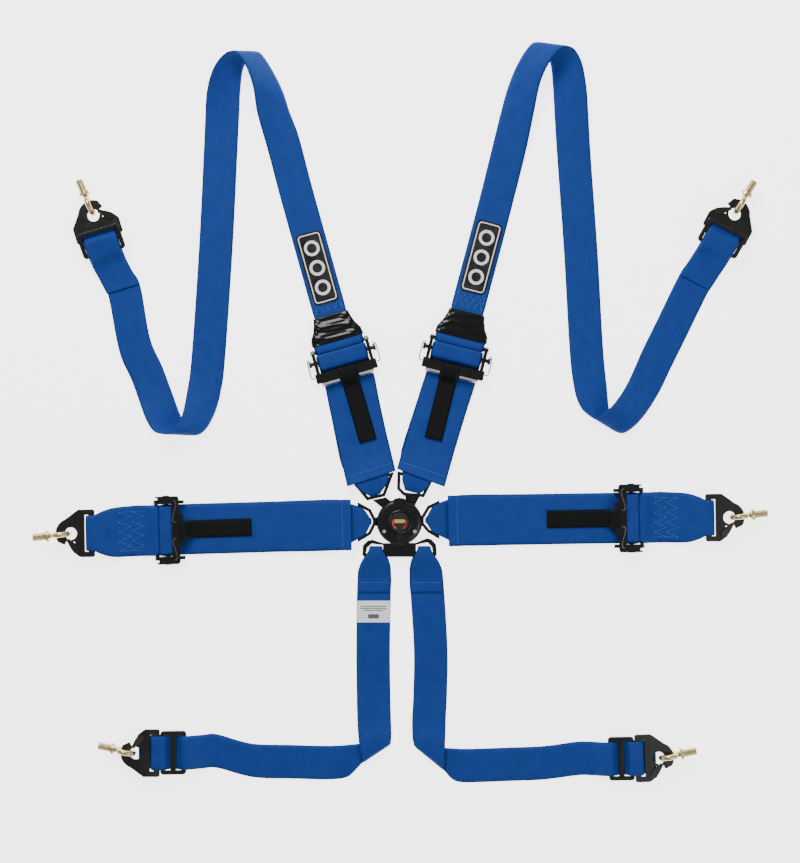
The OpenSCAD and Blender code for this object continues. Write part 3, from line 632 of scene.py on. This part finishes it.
def lower_route(hem, bar, tip, hem_x, bar_x, tip_x, bar_w, tip_w, hem_turn) -> list:
    """Gives the local route of a strap with a loop on its tongue and a tail round the lock bar."""
    w = WIDE_WEB
    mid = 0.45 * w + 0.55 * bar_w
    return (
        at_x([[-bar + 46, 2.9, w - 1], [-bar + 32, 3.6, w - 2]], hem_x)
        + at_x([[-bar + 15, 8.4, mid]], 0.5 * (hem_x + bar_x))
        + at_x([[-bar, 12.4, bar_w], [-0.55 * bar - 0.45 * tip, 12.2, 0.75 * bar_w + 0.25 * tip_w]], bar_x)
        + at_x([[-tip + 1.5, 10, tip_w], [-tip + 1.2, 6.6, tip_w]], tip_x)
        + at_x([[-0.5 * (bar + tip), 2.9, 0.5 * (bar_w + tip_w)], [-bar, 1.5, bar_w]], bar_x)
        + at_x([[-bar + 14, 0.8, mid]], 0.5 * (hem_x + bar_x))
        + at_x([[-bar + 32, 0.8, w]], hem_x)
        + at_x([[-0.55 * bar, 0.8, w]], 0.6 * hem_x)
        + plain([
            [-45, 0.9, w], [-25, 1.4, w], [-10, 3.8, w], [2, 4.5, w], [7.2, 6.2, w], [8.8, 9.2, w],
            [10, 12.8, w], [8, 15, w], [2, 14.8, w], [-6, 14.4, w], [-11, 12.9, w], [-12.6, 10, w],
            [-15, 6.4, w], [-22, 4, w], [-40, 3.3, w],
        ])
        + at_x([[-0.35 * hem, 3.3, w]], 0.25 * hem_x)
        + at_x([[-hem + 60, 4.6, w]], 0.7 * hem_x)
        + at_x([[-hem + 40, 5.7, w]], 0.8 * hem_x)
        + at_x([[-hem + 20, 9.6, w]], 0.9 * hem_x, hem_turn / 2)
        + at_x([[-hem, 14.9, w]], hem_x, hem_turn)
    )


LOWER = {
    "shoulder_left": lower_route(185.4, 186.5, 210, -8.4, -8.4, -9.5, 52, 19, 2),
    "shoulder_right": lower_route(190.5, 191.5, 213.5, -7.3, -13, -14, 44, 25, -7),
    "lap_left": lower_route(271.7, 283.5, 301.5, -1, 2.1, 2.8, 46, 10, -0.7),
    "lap_right": lower_route(269.8, 285, 303.5, -0.5, -2.9, -1.7, 46, 9, 0.5),
}
CROSSBAR_LOOP = plain([
    [47, 6, 56], [36, 8.2, 64], [25, 10.6, 74], [19.5, 12.2, 74], [15.5, 12.4, 74], [12, 11, 74],
    [11.1, 8, 74], [12, 5, 74], [15.5, 3.6, 74], [24, 3.1, 74], [42, 2.7, 60], [60, 2.5, 50], [84, 0.9, 50],
])
ROUTE = {
    "shoulder_left": [
        [-137, 430, 0.8, 15, 0, 50], [-155, 495, 0.8, 16.5, 0, 50], [-172, 560, 1, 16, -4, 50],
        [-186, 604, 6, 6, -16, 49], [-194, 638, 13, 4, -34, 49], [-207, 668, 22, 6, -45, 50],
        [-222, 688, 26, 12, -47, 50], [-236, 688, 20, 10, -44, 50], [-251, 668, 13, 4, -34, 49],
        [-259, 636, 7, 1, -18, 50], [-262, 598, 1.6, -1, -4, 50], [-265, 540, 0.8, -2, 0, 50],
        [-272, 400, 0.8, -3, 0, 50], [-283, 240, 0.8, -3, 0, 50], [-289, 190, 5, 1, -10, 50],
        [-296, 158, 15, 2, -24, 50], [-308, 136, 23, -2, -28, 50], [-323, 128.5, 21, -3, -28, 50],
        [-338, 136, 13, 6, -24, 50], [-350, 158, 6, 16, -14, 50], [-361, 186, 1.2, 22, -3, 50],
        [-374, 220, 0.8, 25, 0, 50], [-392, 262, 0.8, 24, 0, 50],
    ],
    "shoulder_right": [
        [131, 428, 0.8, -15, 0, 50], [147, 490, 0.8, -16, 0, 50], [163, 555, 1, -12, 4, 50],
        [174, 604, 6, -8, 12, 49], [184, 645, 14, -4, 24, 49], [198, 676, 23, -8, 28, 50],
        [216, 698, 26, -15, 27, 50], [232, 698, 21, -12, 27, 50], [245, 676, 13, -4, 24, 49],
        [251, 640, 7, -2, 14, 50], [254, 600, 1.6, 2, 4, 50], [258, 540, 0.8, 3, 0, 50],
        [268, 400, 0.8, 3.5, 0, 50], [276, 260, 0.8, 4, 0, 50], [281, 205, 1.2, 2, -6, 50],
        [287, 168, 3, -12, -18, 50], [298, 146, 8, -28, -22, 50], [312, 143, 17, -32, -22, 50],
        [331, 158, 20, -36, -20, 50], [350, 182, 12, -38, -14, 50], [366, 210, 4, -34, -6, 50],
        [380, 240, 1, -31, -1, 50], [402, 284, 0.8, -29, 0, 50],
    ],
    "crotch_left": [
        [-39, -184, 0.8, 0, 0, 50], [-38.5, -250, 0.8, 0, 0, 50], [-37.5, -292, 4, 4, 0, 50],
        [-36, -318, 9.2, 16, 0, 50], [-34.5, -335, 9.6, 28, 0, 50], [-34, -342, 5.4, 33, 0, 50],
        [-38, -344, 1.4, 37, 0, 50], [-54, -349, 0.8, 58, 0, 50], [-76, -354.5, 0.8, 80, 0, 50],
        [-104, -356.8, 0.8, 88, 0, 50], [-160, -355.5, 0.8, 91, 0, 50], [-218, -353.4, 0.8, 92, 0, 50],
    ],
    "crotch_right": [
        [46, -184, 0.8, 0, 0, 50], [45.5, -250, 0.8, 0, 0, 50], [43.5, -292, 4, -4, 0, 50],
        [43, -322, 9.2, -18, 0, 51], [43.4, -341, 9.6, -32, 0, 54], [44, -349, 5.4, -38, 0, 56],
        [48, -351.5, 1.4, -43, 0, 56], [64, -357, 0.8, -62, 0, 52], [84, -360.5, 0.8, -82, 0, 50],
        [106, -361.2, 0.8, -90, 0, 50], [160, -359.3, 0.8, -92, 0, 50], [214, -357, 0.8, -92, 0, 50],
    ],
}
SHOULDER_TAB = [
    [-20, 17.4], [-28, 17.6], [-34, 15.6], [-38.6, 10.5], [-42, 7.2],
    [-48, 5.6], [-70, 5.6], [-100, 6], [-131, 7.4],
]
LAP_TAB = [
    [-19, 19.4], [-26, 19.4], [-29.5, 17], [-32, 12], [-37, 7.4], [-46, 5.6], [-80, 5.6], [-124, 5.9]
]
CROTCH_END = [
    [-118, 0.9], [-98, 4.6], [-84, 11.6], [-73, 16], [-67.6, 15.4], [-62.6, 11], [-54.5, 8.7], [-48, 10],
    [-44.8, 13], [-42.2, 17.2], [-38, 19.2], [-32, 20], [-26, 19.3], [-22.5, 16.5], [-25.5, 13.6],
    [-31, 12.6], [-38, 9.6], [-46, 6.6], [-58, 5.4], [-66, 4.8], [-68.6, 3.4], [-66, 2], [-50, 2.2],
    [-28, 6], [-12, 9], [-3, 9.8],
]


def lifted(rows: list) -> list:
    """Raises each tilted station until its lower edge is clear of the floor."""
    floor_gap = 2.4
    raised = []
    for q in rows:
        lowest = q[5] / 2 * abs(math.sin(math.radians(q[4]))) + floor_gap
        raised.append(q if q[4] == 0 else [*q[:2], max(q[2], lowest), *q[3:]])
    return raised


def shoulder_end(drift: float) -> list:
    """Gives the local route of a shoulder strap's end at its slide and hook."""
    rows = [
        [2.2, -118, 0.8], [1, -92, 1.6], [0.2, -72, 5.2], [0, -55, 9.3], [0, -43, 12.4], [0, -34, 13.6],
        [0, -26, 13.8], [0, -22.5, 16.5], [0, -25.5, 19.2], [0, -30, 19.6], [0, -33.5, 22.1],
        [0, -37.6, 24.9], [0, -44, 23.8], [0, -54, 20.6], [0, -60, 18.2], [0, -66, 11.8],
        [0.2, -75, 7.3], [1, -92, 4.2], [2, -114, 3],
    ]
    return [[q[0] * drift, q[1], q[2], 0, 0, NARROW_WEB] for q in rows]


def crotch_start(side: int, x0: float, x1: float) -> list:
    """Gives the bunched loop in the wide tongue."""
    mid = 0.5 * (x0 + x1)
    return [
        [x1, -104, 2.9, 0, 0, 49], [x1 - side, -84, 3.4, 0, 0, 49], [mid, -64, 8.4, 0, 0, 44],
        [x0, -52, 11.6, 0, 0, 32], [x0, -43, 11.6, 0, 0, 22], [x0, -37.2, 9.4, 0, 0, 19],
        [x0, -37.4, 5.2, 0, 0, 19], [x0, -43, 2.4, 0, 0, 22], [x0, -52, 1.4, 0, 0, 34],
        [mid, -66, 0.8, 0, 0, 46], [x1, -88, 0.8, 0, 0, 50],
    ]


@dataclass
class Strap:
    """What every strap assembly has: a side, an adjuster and a body.

    Attributes:
        side: shoulder_left, shoulder_right, lap_left or lap_right.
        body: The body that the strap moves with.
    """

    side: str
    body: str

    @property
    def place(self) -> Place:
        """The adjuster's local frame."""
        return ADJUSTER[self.side]

    def lower(self) -> None:
        """Builds the 75 mm strap between tongue and adjuster, with its hem stitches."""
        node = self.side + ("_lower_webbing" if "shoulder" in self.side else "_webbing")
        ribbon = Ribbon("strap_" + node, self.place.stations(LOWER[self.side]), steps=7, columns=16)
        obj = ribbon.build()
        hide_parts(node)
        self.place.point(0, -62, 3)
        self.place.point(0, -14, 3)
        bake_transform(obj)
        end = float(ribbon.along[-1])
        hem = [[(end - 13.5, -34), (end - 13.5, 34)]]
        stitches(self.side + "_hem_thread", ribbon, hem, Finish.THREAD_BLUE, 3.4, self.body)

    def tab(self, rows: list, side_shift: float) -> None:
        """Builds the pull tab on the adjuster's lip."""
        stations = self.place.stations(plain([[q[0], q[1], TAB_W] for q in rows], side_shift))
        ribbon = Ribbon("tab_" + self.side, stations, steps=6, columns=8, finish=Finish.WEB_BLACK)
        obj = ribbon.build()
        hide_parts(self.side + "_pull_tab")
        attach(obj, self.side + "_adjuster")
        end = float(ribbon.along[-1])
        box = [[(end - 4, -10), (end - 4, 10), (end - 16, 10), (end - 16, -10), (end - 4, -10)]]
        stitches(self.side + "_tab_thread", ribbon, box, Finish.WEB_BLACK, 3.0, self.side + "_adjuster")

    def hardware(self) -> None:
        """Finishes the adjuster's metal pieces."""
        bolt_thread(self.side)
        carried(self.side + "_tongue", Finish.GLOSS_BLACK, 0.9)
        carried(self.side + "_adjuster_frame", Finish.GLOSS_BLACK, 0.45)
        carried(self.side + "_locking_bar", Finish.PHOSPHATE, 0.4)
        carried(self.side + "_adjuster_springs", Finish.SPRING_WIRE)
        carried(self.side + "_hook", Finish.PHOSPHATE, 0.5)
        carried(self.side + "_gate", Finish.PHOSPHATE, 0.35)
        carried(self.side + "_eye_bolt", Finish.ZINC_YELLOW, 0.4)


@dataclass
class ShoulderStrap(Strap):
    """A shoulder strap with its badge, cover, slide and hook."""

    drift: float = 0.0
    tab_shift: float = 0.0
    badge_at: float = 0.0

    def build(self) -> None:
        """Builds every piece of the strap."""
        self.lower()
        self.tab(SHOULDER_TAB, self.tab_shift)
        stations = self.place.stations(CROSSBAR_LOOP) + lifted(ROUTE[self.side])
        stations += HOOK[self.side].stations(shoulder_end(self.drift))
        ribbon = Ribbon("strap_" + self.side + "_upper", stations, steps=8, columns=12)
        obj = ribbon.build()
        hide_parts(self.side + "_upper_webbing")
        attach(obj, self.body)
        self.sewing(ribbon)
        self.badge(ribbon)
        self.painted_lip_highlights()
        carried(self.side + "_slide", Finish.PHOSPHATE, 0.7)
        self.cover()
        self.hardware()

    def painted_lip_highlights(self) -> None:
        """Lays painted highlight strips on the lip's slanted front, either side of the pull tab."""
        profile = [
            (-31.2, 14.75), (-33.75, 13.6), (-36.25, 9.0), (-35.9, 8.9), (-33.45, 13.3), (-31.0, 14.4)
        ]
        n, outer, beside_tab = len(profile), 39.2, 15.0
        spans = ((-outer, self.tab_shift - beside_tab), (self.tab_shift + beside_tab, outer))
        for k, (x0, x1) in enumerate(spans):
            ends = [self.place.point(x, y, z) for x in (x0, x1) for y, z in profile]
            faces = [(i, (i + 1) % n, n + (i + 1) % n, n + i) for i in range(n)]
            faces += [tuple(range(n - 1, -1, -1)), tuple(range(n, 2 * n))]
            name = f"{self.side}_lip_edge_{k}"
            # Each strip is a painted highlight on the lip's chamfer, not bare or worn metal.
            obj = mesh_object(name, np.array(ends), faces, Finish.EDGE_BRIGHT.material(), False)
            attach(obj, self.side + "_adjuster")

    def cover(self) -> None:
        """Builds the shrunk gloss sleeve over the sewn loop.

        Each section is a rounded oblong. Its half width goes from 39.6 to 26.6 mm and its height from
        13.2 to 5.9 mm along the sleeve. Three sine waves in both directions add the wrinkles, which
        fade to nothing at the ends and below.
        """
        rows, columns, floor_z, wall = 44, 96, 0.15, 1.0
        start, end = 24.0, 63.6
        y = np.linspace(start, end, rows)
        half = np.interp(y, [24, 34, 45, 55, 63.6], [39.6, 38.4, 32.0, 28.4, 26.6])
        tall = np.interp(y, [24, 46, 63.6], [13.2, 9.8, 5.9])
        a = np.linspace(0, 2 * np.pi, columns, endpoint=False)
        ca, sa = np.cos(a), np.sin(a)
        ex, ez = np.sign(ca) * np.abs(ca) ** 0.35, np.sign(sa) * np.abs(sa) ** 0.55
        phase = self.place.turn
        yy, aa = y[:, None], a[None, :]
        fold = (
            0.4 * np.sin(0.36 * yy + 3.4 * np.cos(aa) + phase)
            + 0.3 * np.sin(0.5 * yy - 7 * np.cos(aa) + 2 * phase)
            + 0.16 * np.sin(1.1 * yy + 13 * np.cos(aa))
        )
        fade = np.sin(np.pi * np.clip((yy - start) / (end - start), 0, 1)) ** 0.35 * (sa[None, :] > -0.2)
        shells = []
        for inset in (0.0, wall):
            x = ex[None, :] * (half[:, None] - inset)
            middle, wrinkle = tall[:, None] / 2, fold * fade * (0.9 - inset * 0.1)
            z = floor_z + middle + ez[None, :] * (middle - floor_z - inset) + wrinkle
            rows_xyz = np.stack([x, np.broadcast_to(yy, x.shape), np.maximum(z, floor_z + inset)], -1)
            shells.append(rows_xyz.reshape(-1, 3))
        pts = self.place.moved(np.vstack(shells))
        faces = []
        inner = rows * columns
        for i in range(rows - 1):
            for k in range(columns):
                j = (k + 1) % columns
                p, q = i * columns, (i + 1) * columns
                faces.append((p + k, q + k, q + j, p + j))
                faces.append((inner + p + j, inner + q + j, inner + q + k, inner + p + k))
        last = (rows - 1) * columns
        for k in range(columns):
            j = (k + 1) % columns
            faces.append((k, j, inner + j, inner + k))
            faces.append((last + j, last + k, inner + last + k, inner + last + j))
        obj = mesh_object(self.side + "_sleeve", pts * MM, faces, Finish.VINYL.material())
        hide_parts(self.side + "_end_cover")
        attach(obj, self.body)

    def sewing(self, ribbon: Ribbon) -> None:
        """Sews the loop's W pattern and one straight cross line further along."""
        zone = self.place_along(ribbon, 64)
        rows = zigzag(zone + 6, zone + 38, 20, 2) + [[(zone + 52, -22), (zone + 52, 22)]]
        stitches(self.side + "_loop_thread", ribbon, rows, Finish.THREAD_BLUE, 3.2, self.body)

    def place_along(self, ribbon: Ribbon, y: float) -> float:
        """Gives the distance along the strap of an adjuster-local y on the outgoing run."""
        target = np.array(self.place.point(0, y)) / MM
        in_loop = np.arange(len(ribbon.path)) < LOOP_SECTIONS
        dist = np.linalg.norm(ribbon.path[:, :2] - target[:2], axis=1) + 40 * in_loop
        return float(ribbon.along[int(np.argmin(dist))])

    def badge(self, ribbon: Ribbon) -> None:
        """Sews a rounded badge with a pale border and three plain rings on the strap."""
        middle = self.place_along(ribbon, self.badge_at)
        badge_patch(self.side, ribbon, middle, self.body)


def patch_surface(name, ribbon, s_mid, half_l, half_w, corner, lift, finish, body, inner=None, shift=0.0):
    """Lays a rounded panel, or a frame when inner is given, on a strap's upper face.

    The outline is a rounded rectangle: each corner is a quarter circle of the corner radius.
    """
    def outline(hl, hw, r):
        """Gives the points of a rounded rectangle from its half sides and corner radius."""
        rows = []
        x, y = hl - r, hw - r
        for cx, cy, start in ((x, y, 0), (-x, y, 90), (-x, -y, 180), (x, -y, 270)):
            for k in range(9):
                a = math.radians(start + 90 * k / 8)
                rows.append((cx + r * math.cos(a), cy + r * math.sin(a)))
        return rows

    outer = outline(half_l, half_w, corner)
    pts, faces = [], []
    n = len(outer)
    if inner:
        core = outline(half_l - inner, half_w - inner, max(corner - inner, 0.3))
        for loop, up in ((outer, lift), (core, lift), (outer, 0.02), (core, 0.02)):
            pts += [ribbon.surface(s_mid + a, b + shift, up) for a, b in loop]
        for k in range(n):
            j = (k + 1) % n
            faces += [
                (k, j, n + j, n + k), (2 * n + k, 2 * n + j, j, k),
                (n + k, n + j, 3 * n + j, 3 * n + k), (3 * n + k, 3 * n + j, 2 * n + j, 2 * n + k),
            ]
    else:
        rings = 10
        for i in range(rings + 1):
            size = 1 - i / rings * 0.999
            pts += [ribbon.surface(s_mid + a * size, b * size + shift, lift) for a, b in outer]
        pts += [ribbon.surface(s_mid + a, b + shift, 0.02) for a, b in outer]
        faces += ring_faces(rings + 1, n)
        base = (rings + 1) * n
        for k in range(n):
            j = (k + 1) % n
            faces.append((base + k, base + j, j, k))
        faces.append(tuple(rings * n + k for k in range(n)))
        faces.append(tuple(base + k for k in range(n - 1, -1, -1)))
    obj = mesh_object(name, np.asarray(pts) * MM, faces, finish.material(), smooth=False)
    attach(obj, body)
    return obj


def badge_patch(side: str, ribbon: Ribbon, middle: float, body: str) -> None:
    """Builds the black badge, its pale border and a plain row of three pale rings."""
    ring, spacing, white = 11.5, 30, Finish.THREAD_WHITE
    patch_surface(side + "_badge", ribbon, middle, 54, 19.25, 7, 1.1, Finish.PATCH_BLACK, body)
    patch_surface(side + "_badge_border", ribbon, middle, 51.4, 16.6, 5, 1.35, white, body, inner=1.5)
    for k in range(3):
        name, at = f"{side}_badge_ring_{k}", middle + (k - 1) * spacing
        patch_surface(name, ribbon, at, ring, ring, ring - 0.1, 1.4, white, body, inner=4.2)


@dataclass
class LapStrap(Strap):
    """A lap strap with its outer loop."""

    def build(self) -> None:
        """Builds every piece of the strap."""
        self.lower()
        self.tab(LAP_TAB, 0.0)
        w = WIDE_WEB
        stations = (
            self.place.stations(plain([[31, 0.9, w], [50, 0.8, w]]))
            + HOOK[self.side].stations(plain([
                [-62, 3.4, 72], [-47, 9, 62], [-37, 13, 53], [-28, 13.6, 52], [-22.5, 16.5, 52],
                [-26, 19.5, 52], [-34.5, 19.8, 53], [-46, 15.6, 64], [-62, 7.8, 73],
            ]))
            + self.place.stations(plain([
                [50, 3.6, w], [31, 5.6, w], [23, 9.4, w], [15.5, 12.5, w], [12, 11, w], [11.1, 8, w],
                [12, 5, w], [15.5, 3.6, w], [25, 2.6, w],
            ]))
        )
        ribbon = Ribbon("strap_" + self.side + "_outer", stations, steps=8, columns=16)
        obj = ribbon.build()
        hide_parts(self.side + "_outer_webbing")
        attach(obj, self.body)
        out = np.linalg.norm(ribbon.path[:, :2] - np.array([self.place.x, self.place.y]), axis=1)
        out[: LOOP_SECTIONS + 1] = np.inf
        far = float(ribbon.along[int(np.argmin(np.abs(out - 72)))])
        near = float(ribbon.along[int(np.argmin(np.abs(out - 34)))])
        rows = zigzag(min(far, near), max(far, near), 29, 2)
        stitches(self.side + "_outer_thread", ribbon, rows, Finish.THREAD_BLUE, 3.2, self.body)
        self.hardware()


@dataclass
class CrotchStraps:
    """The two crotch straps on their wide tongue."""

    body: str = "crotch_strap"

    def build(self) -> None:
        """Builds both straps, the label and the metal pieces."""
        made = []
        for side, sign, x0, x1 in (("crotch_left", -1, -35, -37.5), ("crotch_right", 1, 36.5, 40)):
            end = HOOK[side].stations(plain([[q[0], q[1], NARROW_WEB] for q in CROTCH_END]))
            stations = crotch_start(sign, x0, x1) + ROUTE[side] + end
            ribbon = Ribbon("strap_" + side, stations, steps=8, columns=12)
            obj = ribbon.build()
            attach(obj, self.body)
            made.append((obj, ribbon, side))
            line = [[(14, -21), (14, 21)]]
            stitches(side + "_loop_thread", ribbon, line, Finish.THREAD_BLUE, 3.2, self.body)
        for obj, ribbon, side in made:
            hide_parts("crotch_webbing")
        self.label(made[0][1])
        carried("crotch_tongue", Finish.GLOSS_BLACK, 0.8)
        carried("crotch_slides", Finish.PHOSPHATE, 0.7)
        carried("crotch_hooks", Finish.PHOSPHATE, 0.5)
        for side in ("crotch_left", "crotch_right"):
            carried(side + "_gate", Finish.PHOSPHATE, 0.35)
            carried(side + "_eye_bolt", Finish.ZINC_YELLOW, 0.4)
            bolt_thread(side)

    def label(self, ribbon: Ribbon) -> None:
        """Sews the blank care label, with plain grey bars for its print."""
        run = ribbon.path
        later = np.arange(len(run)) > LOOP_SECTIONS
        at = float(ribbon.along[int(np.argmin(np.abs(run[:, 1] + 137) + 1000 * ~later))])
        patch_surface("care_label", ribbon, at, 16, 24.2, 0.6, 0.35, Finish.LABEL_WHITE, self.body)
        bars = ((-7.5, 0.6, 19), (-4.5, 0.6, 20), (-1.5, 0.6, 14), (7, 3.2, 8))
        for k, (off, tall, half) in enumerate(bars):
            name, grey = f"care_label_bar_{k}", Finish.LABEL_GREY
            patch_surface(name, ribbon, at + off, tall, half, 0.4, 0.5, grey, self.body)


@dataclass
class Buckle:
    """The rotary buckle and its badge."""

    def build(self) -> None:
        """Finishes the buckle's pieces and adds the badge."""
        carried("knob", Finish.KNOB_BLACK, 0.5)
        carried("knob_screws", Finish.ZINC_WHITE)
        carried("housing", Finish.KNOB_BLACK, 0.4)
        carried("back_plate", Finish.GLOSS_BLACK, 0.4)
        for node in ("center_post", "return_spring", "latch_pawls", "release_cam"):
            carried(node, Finish.ZINC_WHITE)
        self.disc("badge_disc", 14.2, KNOB_TOP - 0.4, KNOB_TOP, Finish.PATCH_BLACK)
        self.bar("badge_bar", 17, 5.2, KNOB_TOP, KNOB_TOP + PRINT_T, Finish.BADGE_GOLD)
        for k, (start, sweep) in enumerate(((165, 80), (15, -80))):
            self.arc(f"badge_arc_{k}", start, sweep, 9.2, 11.0, Finish.BADGE_RED)

    @staticmethod
    def disc(name, r1, z0, z1, finish) -> None:
        """Adds a round plate with a chamfered rim to the knob."""
        n = 64
        a = np.linspace(0, 2 * np.pi, n, endpoint=False)
        rings = [(r1, z0), (r1, z1 - 0.15), (r1 - 0.3, z1), (r1 * 0.5, z1)]
        pts = np.concatenate([np.stack([r * np.cos(a), r * np.sin(a), np.full(n, z)], 1) for r, z in rings])
        faces = ring_faces(len(rings), n)
        faces.append(tuple(3 * n + k for k in range(n)))
        faces.append(tuple(range(n - 1, -1, -1)))
        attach(mesh_object(name, pts * MM, faces, finish.material(), smooth=False), "knob")

    @staticmethod
    def bar(name, length, height, z0, z1, finish) -> None:
        """Adds a bar with slanted ends to the knob's badge."""
        hl, hh = length / 2, height / 2
        base = [(-hl, -hh), (hl - 1.2, -hh), (hl, 0), (hl - 1.2, hh), (-hl, hh), (-hl + 1.2, 0)]
        n = len(base)
        pts = np.array([(x, y + 1.5, z) for z in (z0, z1) for x, y in base])
        faces = [tuple(range(n - 1, -1, -1)), tuple(range(n, 2 * n))]
        faces += [(k, (k + 1) % n, n + (k + 1) % n, n + k) for k in range(n)]
        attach(mesh_object(name, pts * MM, faces, finish.material(), smooth=False), "knob")

    @staticmethod
    def arc(name, start, sweep, r0, r1, finish) -> None:
        """Adds a curved arrow to the knob's badge: an even arc, then a head twice as wide."""
        n, head_from = 24, 0.75
        rows = []
        for i in range(n + 1):
            f = i / n
            a = math.radians(start + sweep * f)
            mid, half = (r0 + r1) / 2, (r1 - r0) / 2
            wide = half if f < head_from else half * 2.0 * (1 - f) / (1 - head_from) + 0.05
            way = np.array([math.cos(a), math.sin(a)])
            rows.append(((mid - wide) * way, (mid + wide) * way))
        heights = (KNOB_TOP, KNOB_TOP + PRINT_T)
        pts = [(p[0], p[1], z) for z in heights for pair in rows for p in pair]
        m = 2 * (n + 1)
        faces = []
        for i in range(n):
            a0, b0, a1, b1 = 2 * i, 2 * i + 1, 2 * i + 2, 2 * i + 3
            faces += [
                (m + a0, m + b0, m + b1, m + a1), (a0, a1, b1, b0),
                (b0, b1, m + b1, m + b0), (a1, a0, m + a0, m + a1),
            ]
        faces += [(0, 1, m + 1, m), (2 * n, m + 2 * n, m + 2 * n + 1, 2 * n + 1)]
        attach(mesh_object(name, np.array(pts) * MM, faces, finish.material(), smooth=False), "knob")


# ---------------------------------------------------------------- light and camera


@dataclass
class Studio:
    """Pale floor, soft light and the camera straight above."""

    def build(self) -> None:
        """Builds the floor, the lights and the camera."""
        floor_material, _, surface = new_material("studio_paper")
        surface.inputs["Base Color"].default_value = linear("#FCFCFC")
        surface.inputs["Roughness"].default_value = 0.9
        surface.inputs["Emission Color"].default_value = linear("#FFFFFF")
        surface.inputs["Emission Strength"].default_value = 3.0
        half, low = 6.0, -0.0005
        pts = np.array([(-half, -half, low), (half, -half, low), (half, half, low), (-half, half, low)])
        floor = mesh_object("studio_floor", pts, [(0, 1, 2, 3)], floor_material, smooth=False)
        world = bpy.data.worlds.new("studio_world")
        world.use_nodes = True
        world.node_tree.nodes["Background"].inputs[0].default_value = linear("#FFFFFF")
        world.node_tree.nodes["Background"].inputs[1].default_value = 0.55
        bpy.context.scene.world = world
        self.area("key_light", (-0.7, 2.2, 1.9), 1.2, 75.0)
        self.area("fill_light", (1.6, -0.9, 2.2), 1.6, 22.0)
        data = bpy.data.cameras.new("camera")
        data.sensor_width = SENSOR
        data.lens = SENSOR * CAMERA_HEIGHT / VIEW_TALL
        camera = bpy.data.objects.new("camera", data)
        camera.location = (*VIEW_CENTRE, CAMERA_HEIGHT)
        bpy.context.scene.collection.objects.link(camera)
        bpy.context.scene.camera = camera

    @staticmethod
    def area(name: str, at: tuple, size: float, power: float) -> None:
        """Adds a square area light aimed at the middle of the harness."""
        from mathutils import Vector

        data = bpy.data.lights.new(name, "AREA")
        data.size = size
        data.energy = power
        light = bpy.data.objects.new(name, data)
        light.location = at
        light.rotation_euler = (Vector((0.0, 0.1, 0.0)) - Vector(at)).to_track_quat("-Z", "Y").to_euler()
        bpy.context.scene.collection.objects.link(light)


def main() -> None:
    """Builds the whole scene."""
    Studio().build()
    Buckle().build()
    ShoulderStrap("shoulder_left", "shoulder_left_strap", 4, 2, 137).build()
    ShoulderStrap("shoulder_right", "shoulder_right_strap", -2, -3, 143).build()
    LapStrap("lap_left", "buckle").build()
    LapStrap("lap_right", "lap_right_strap").build()
    CrotchStraps().build()


if __name__ == "__main__":
    main()
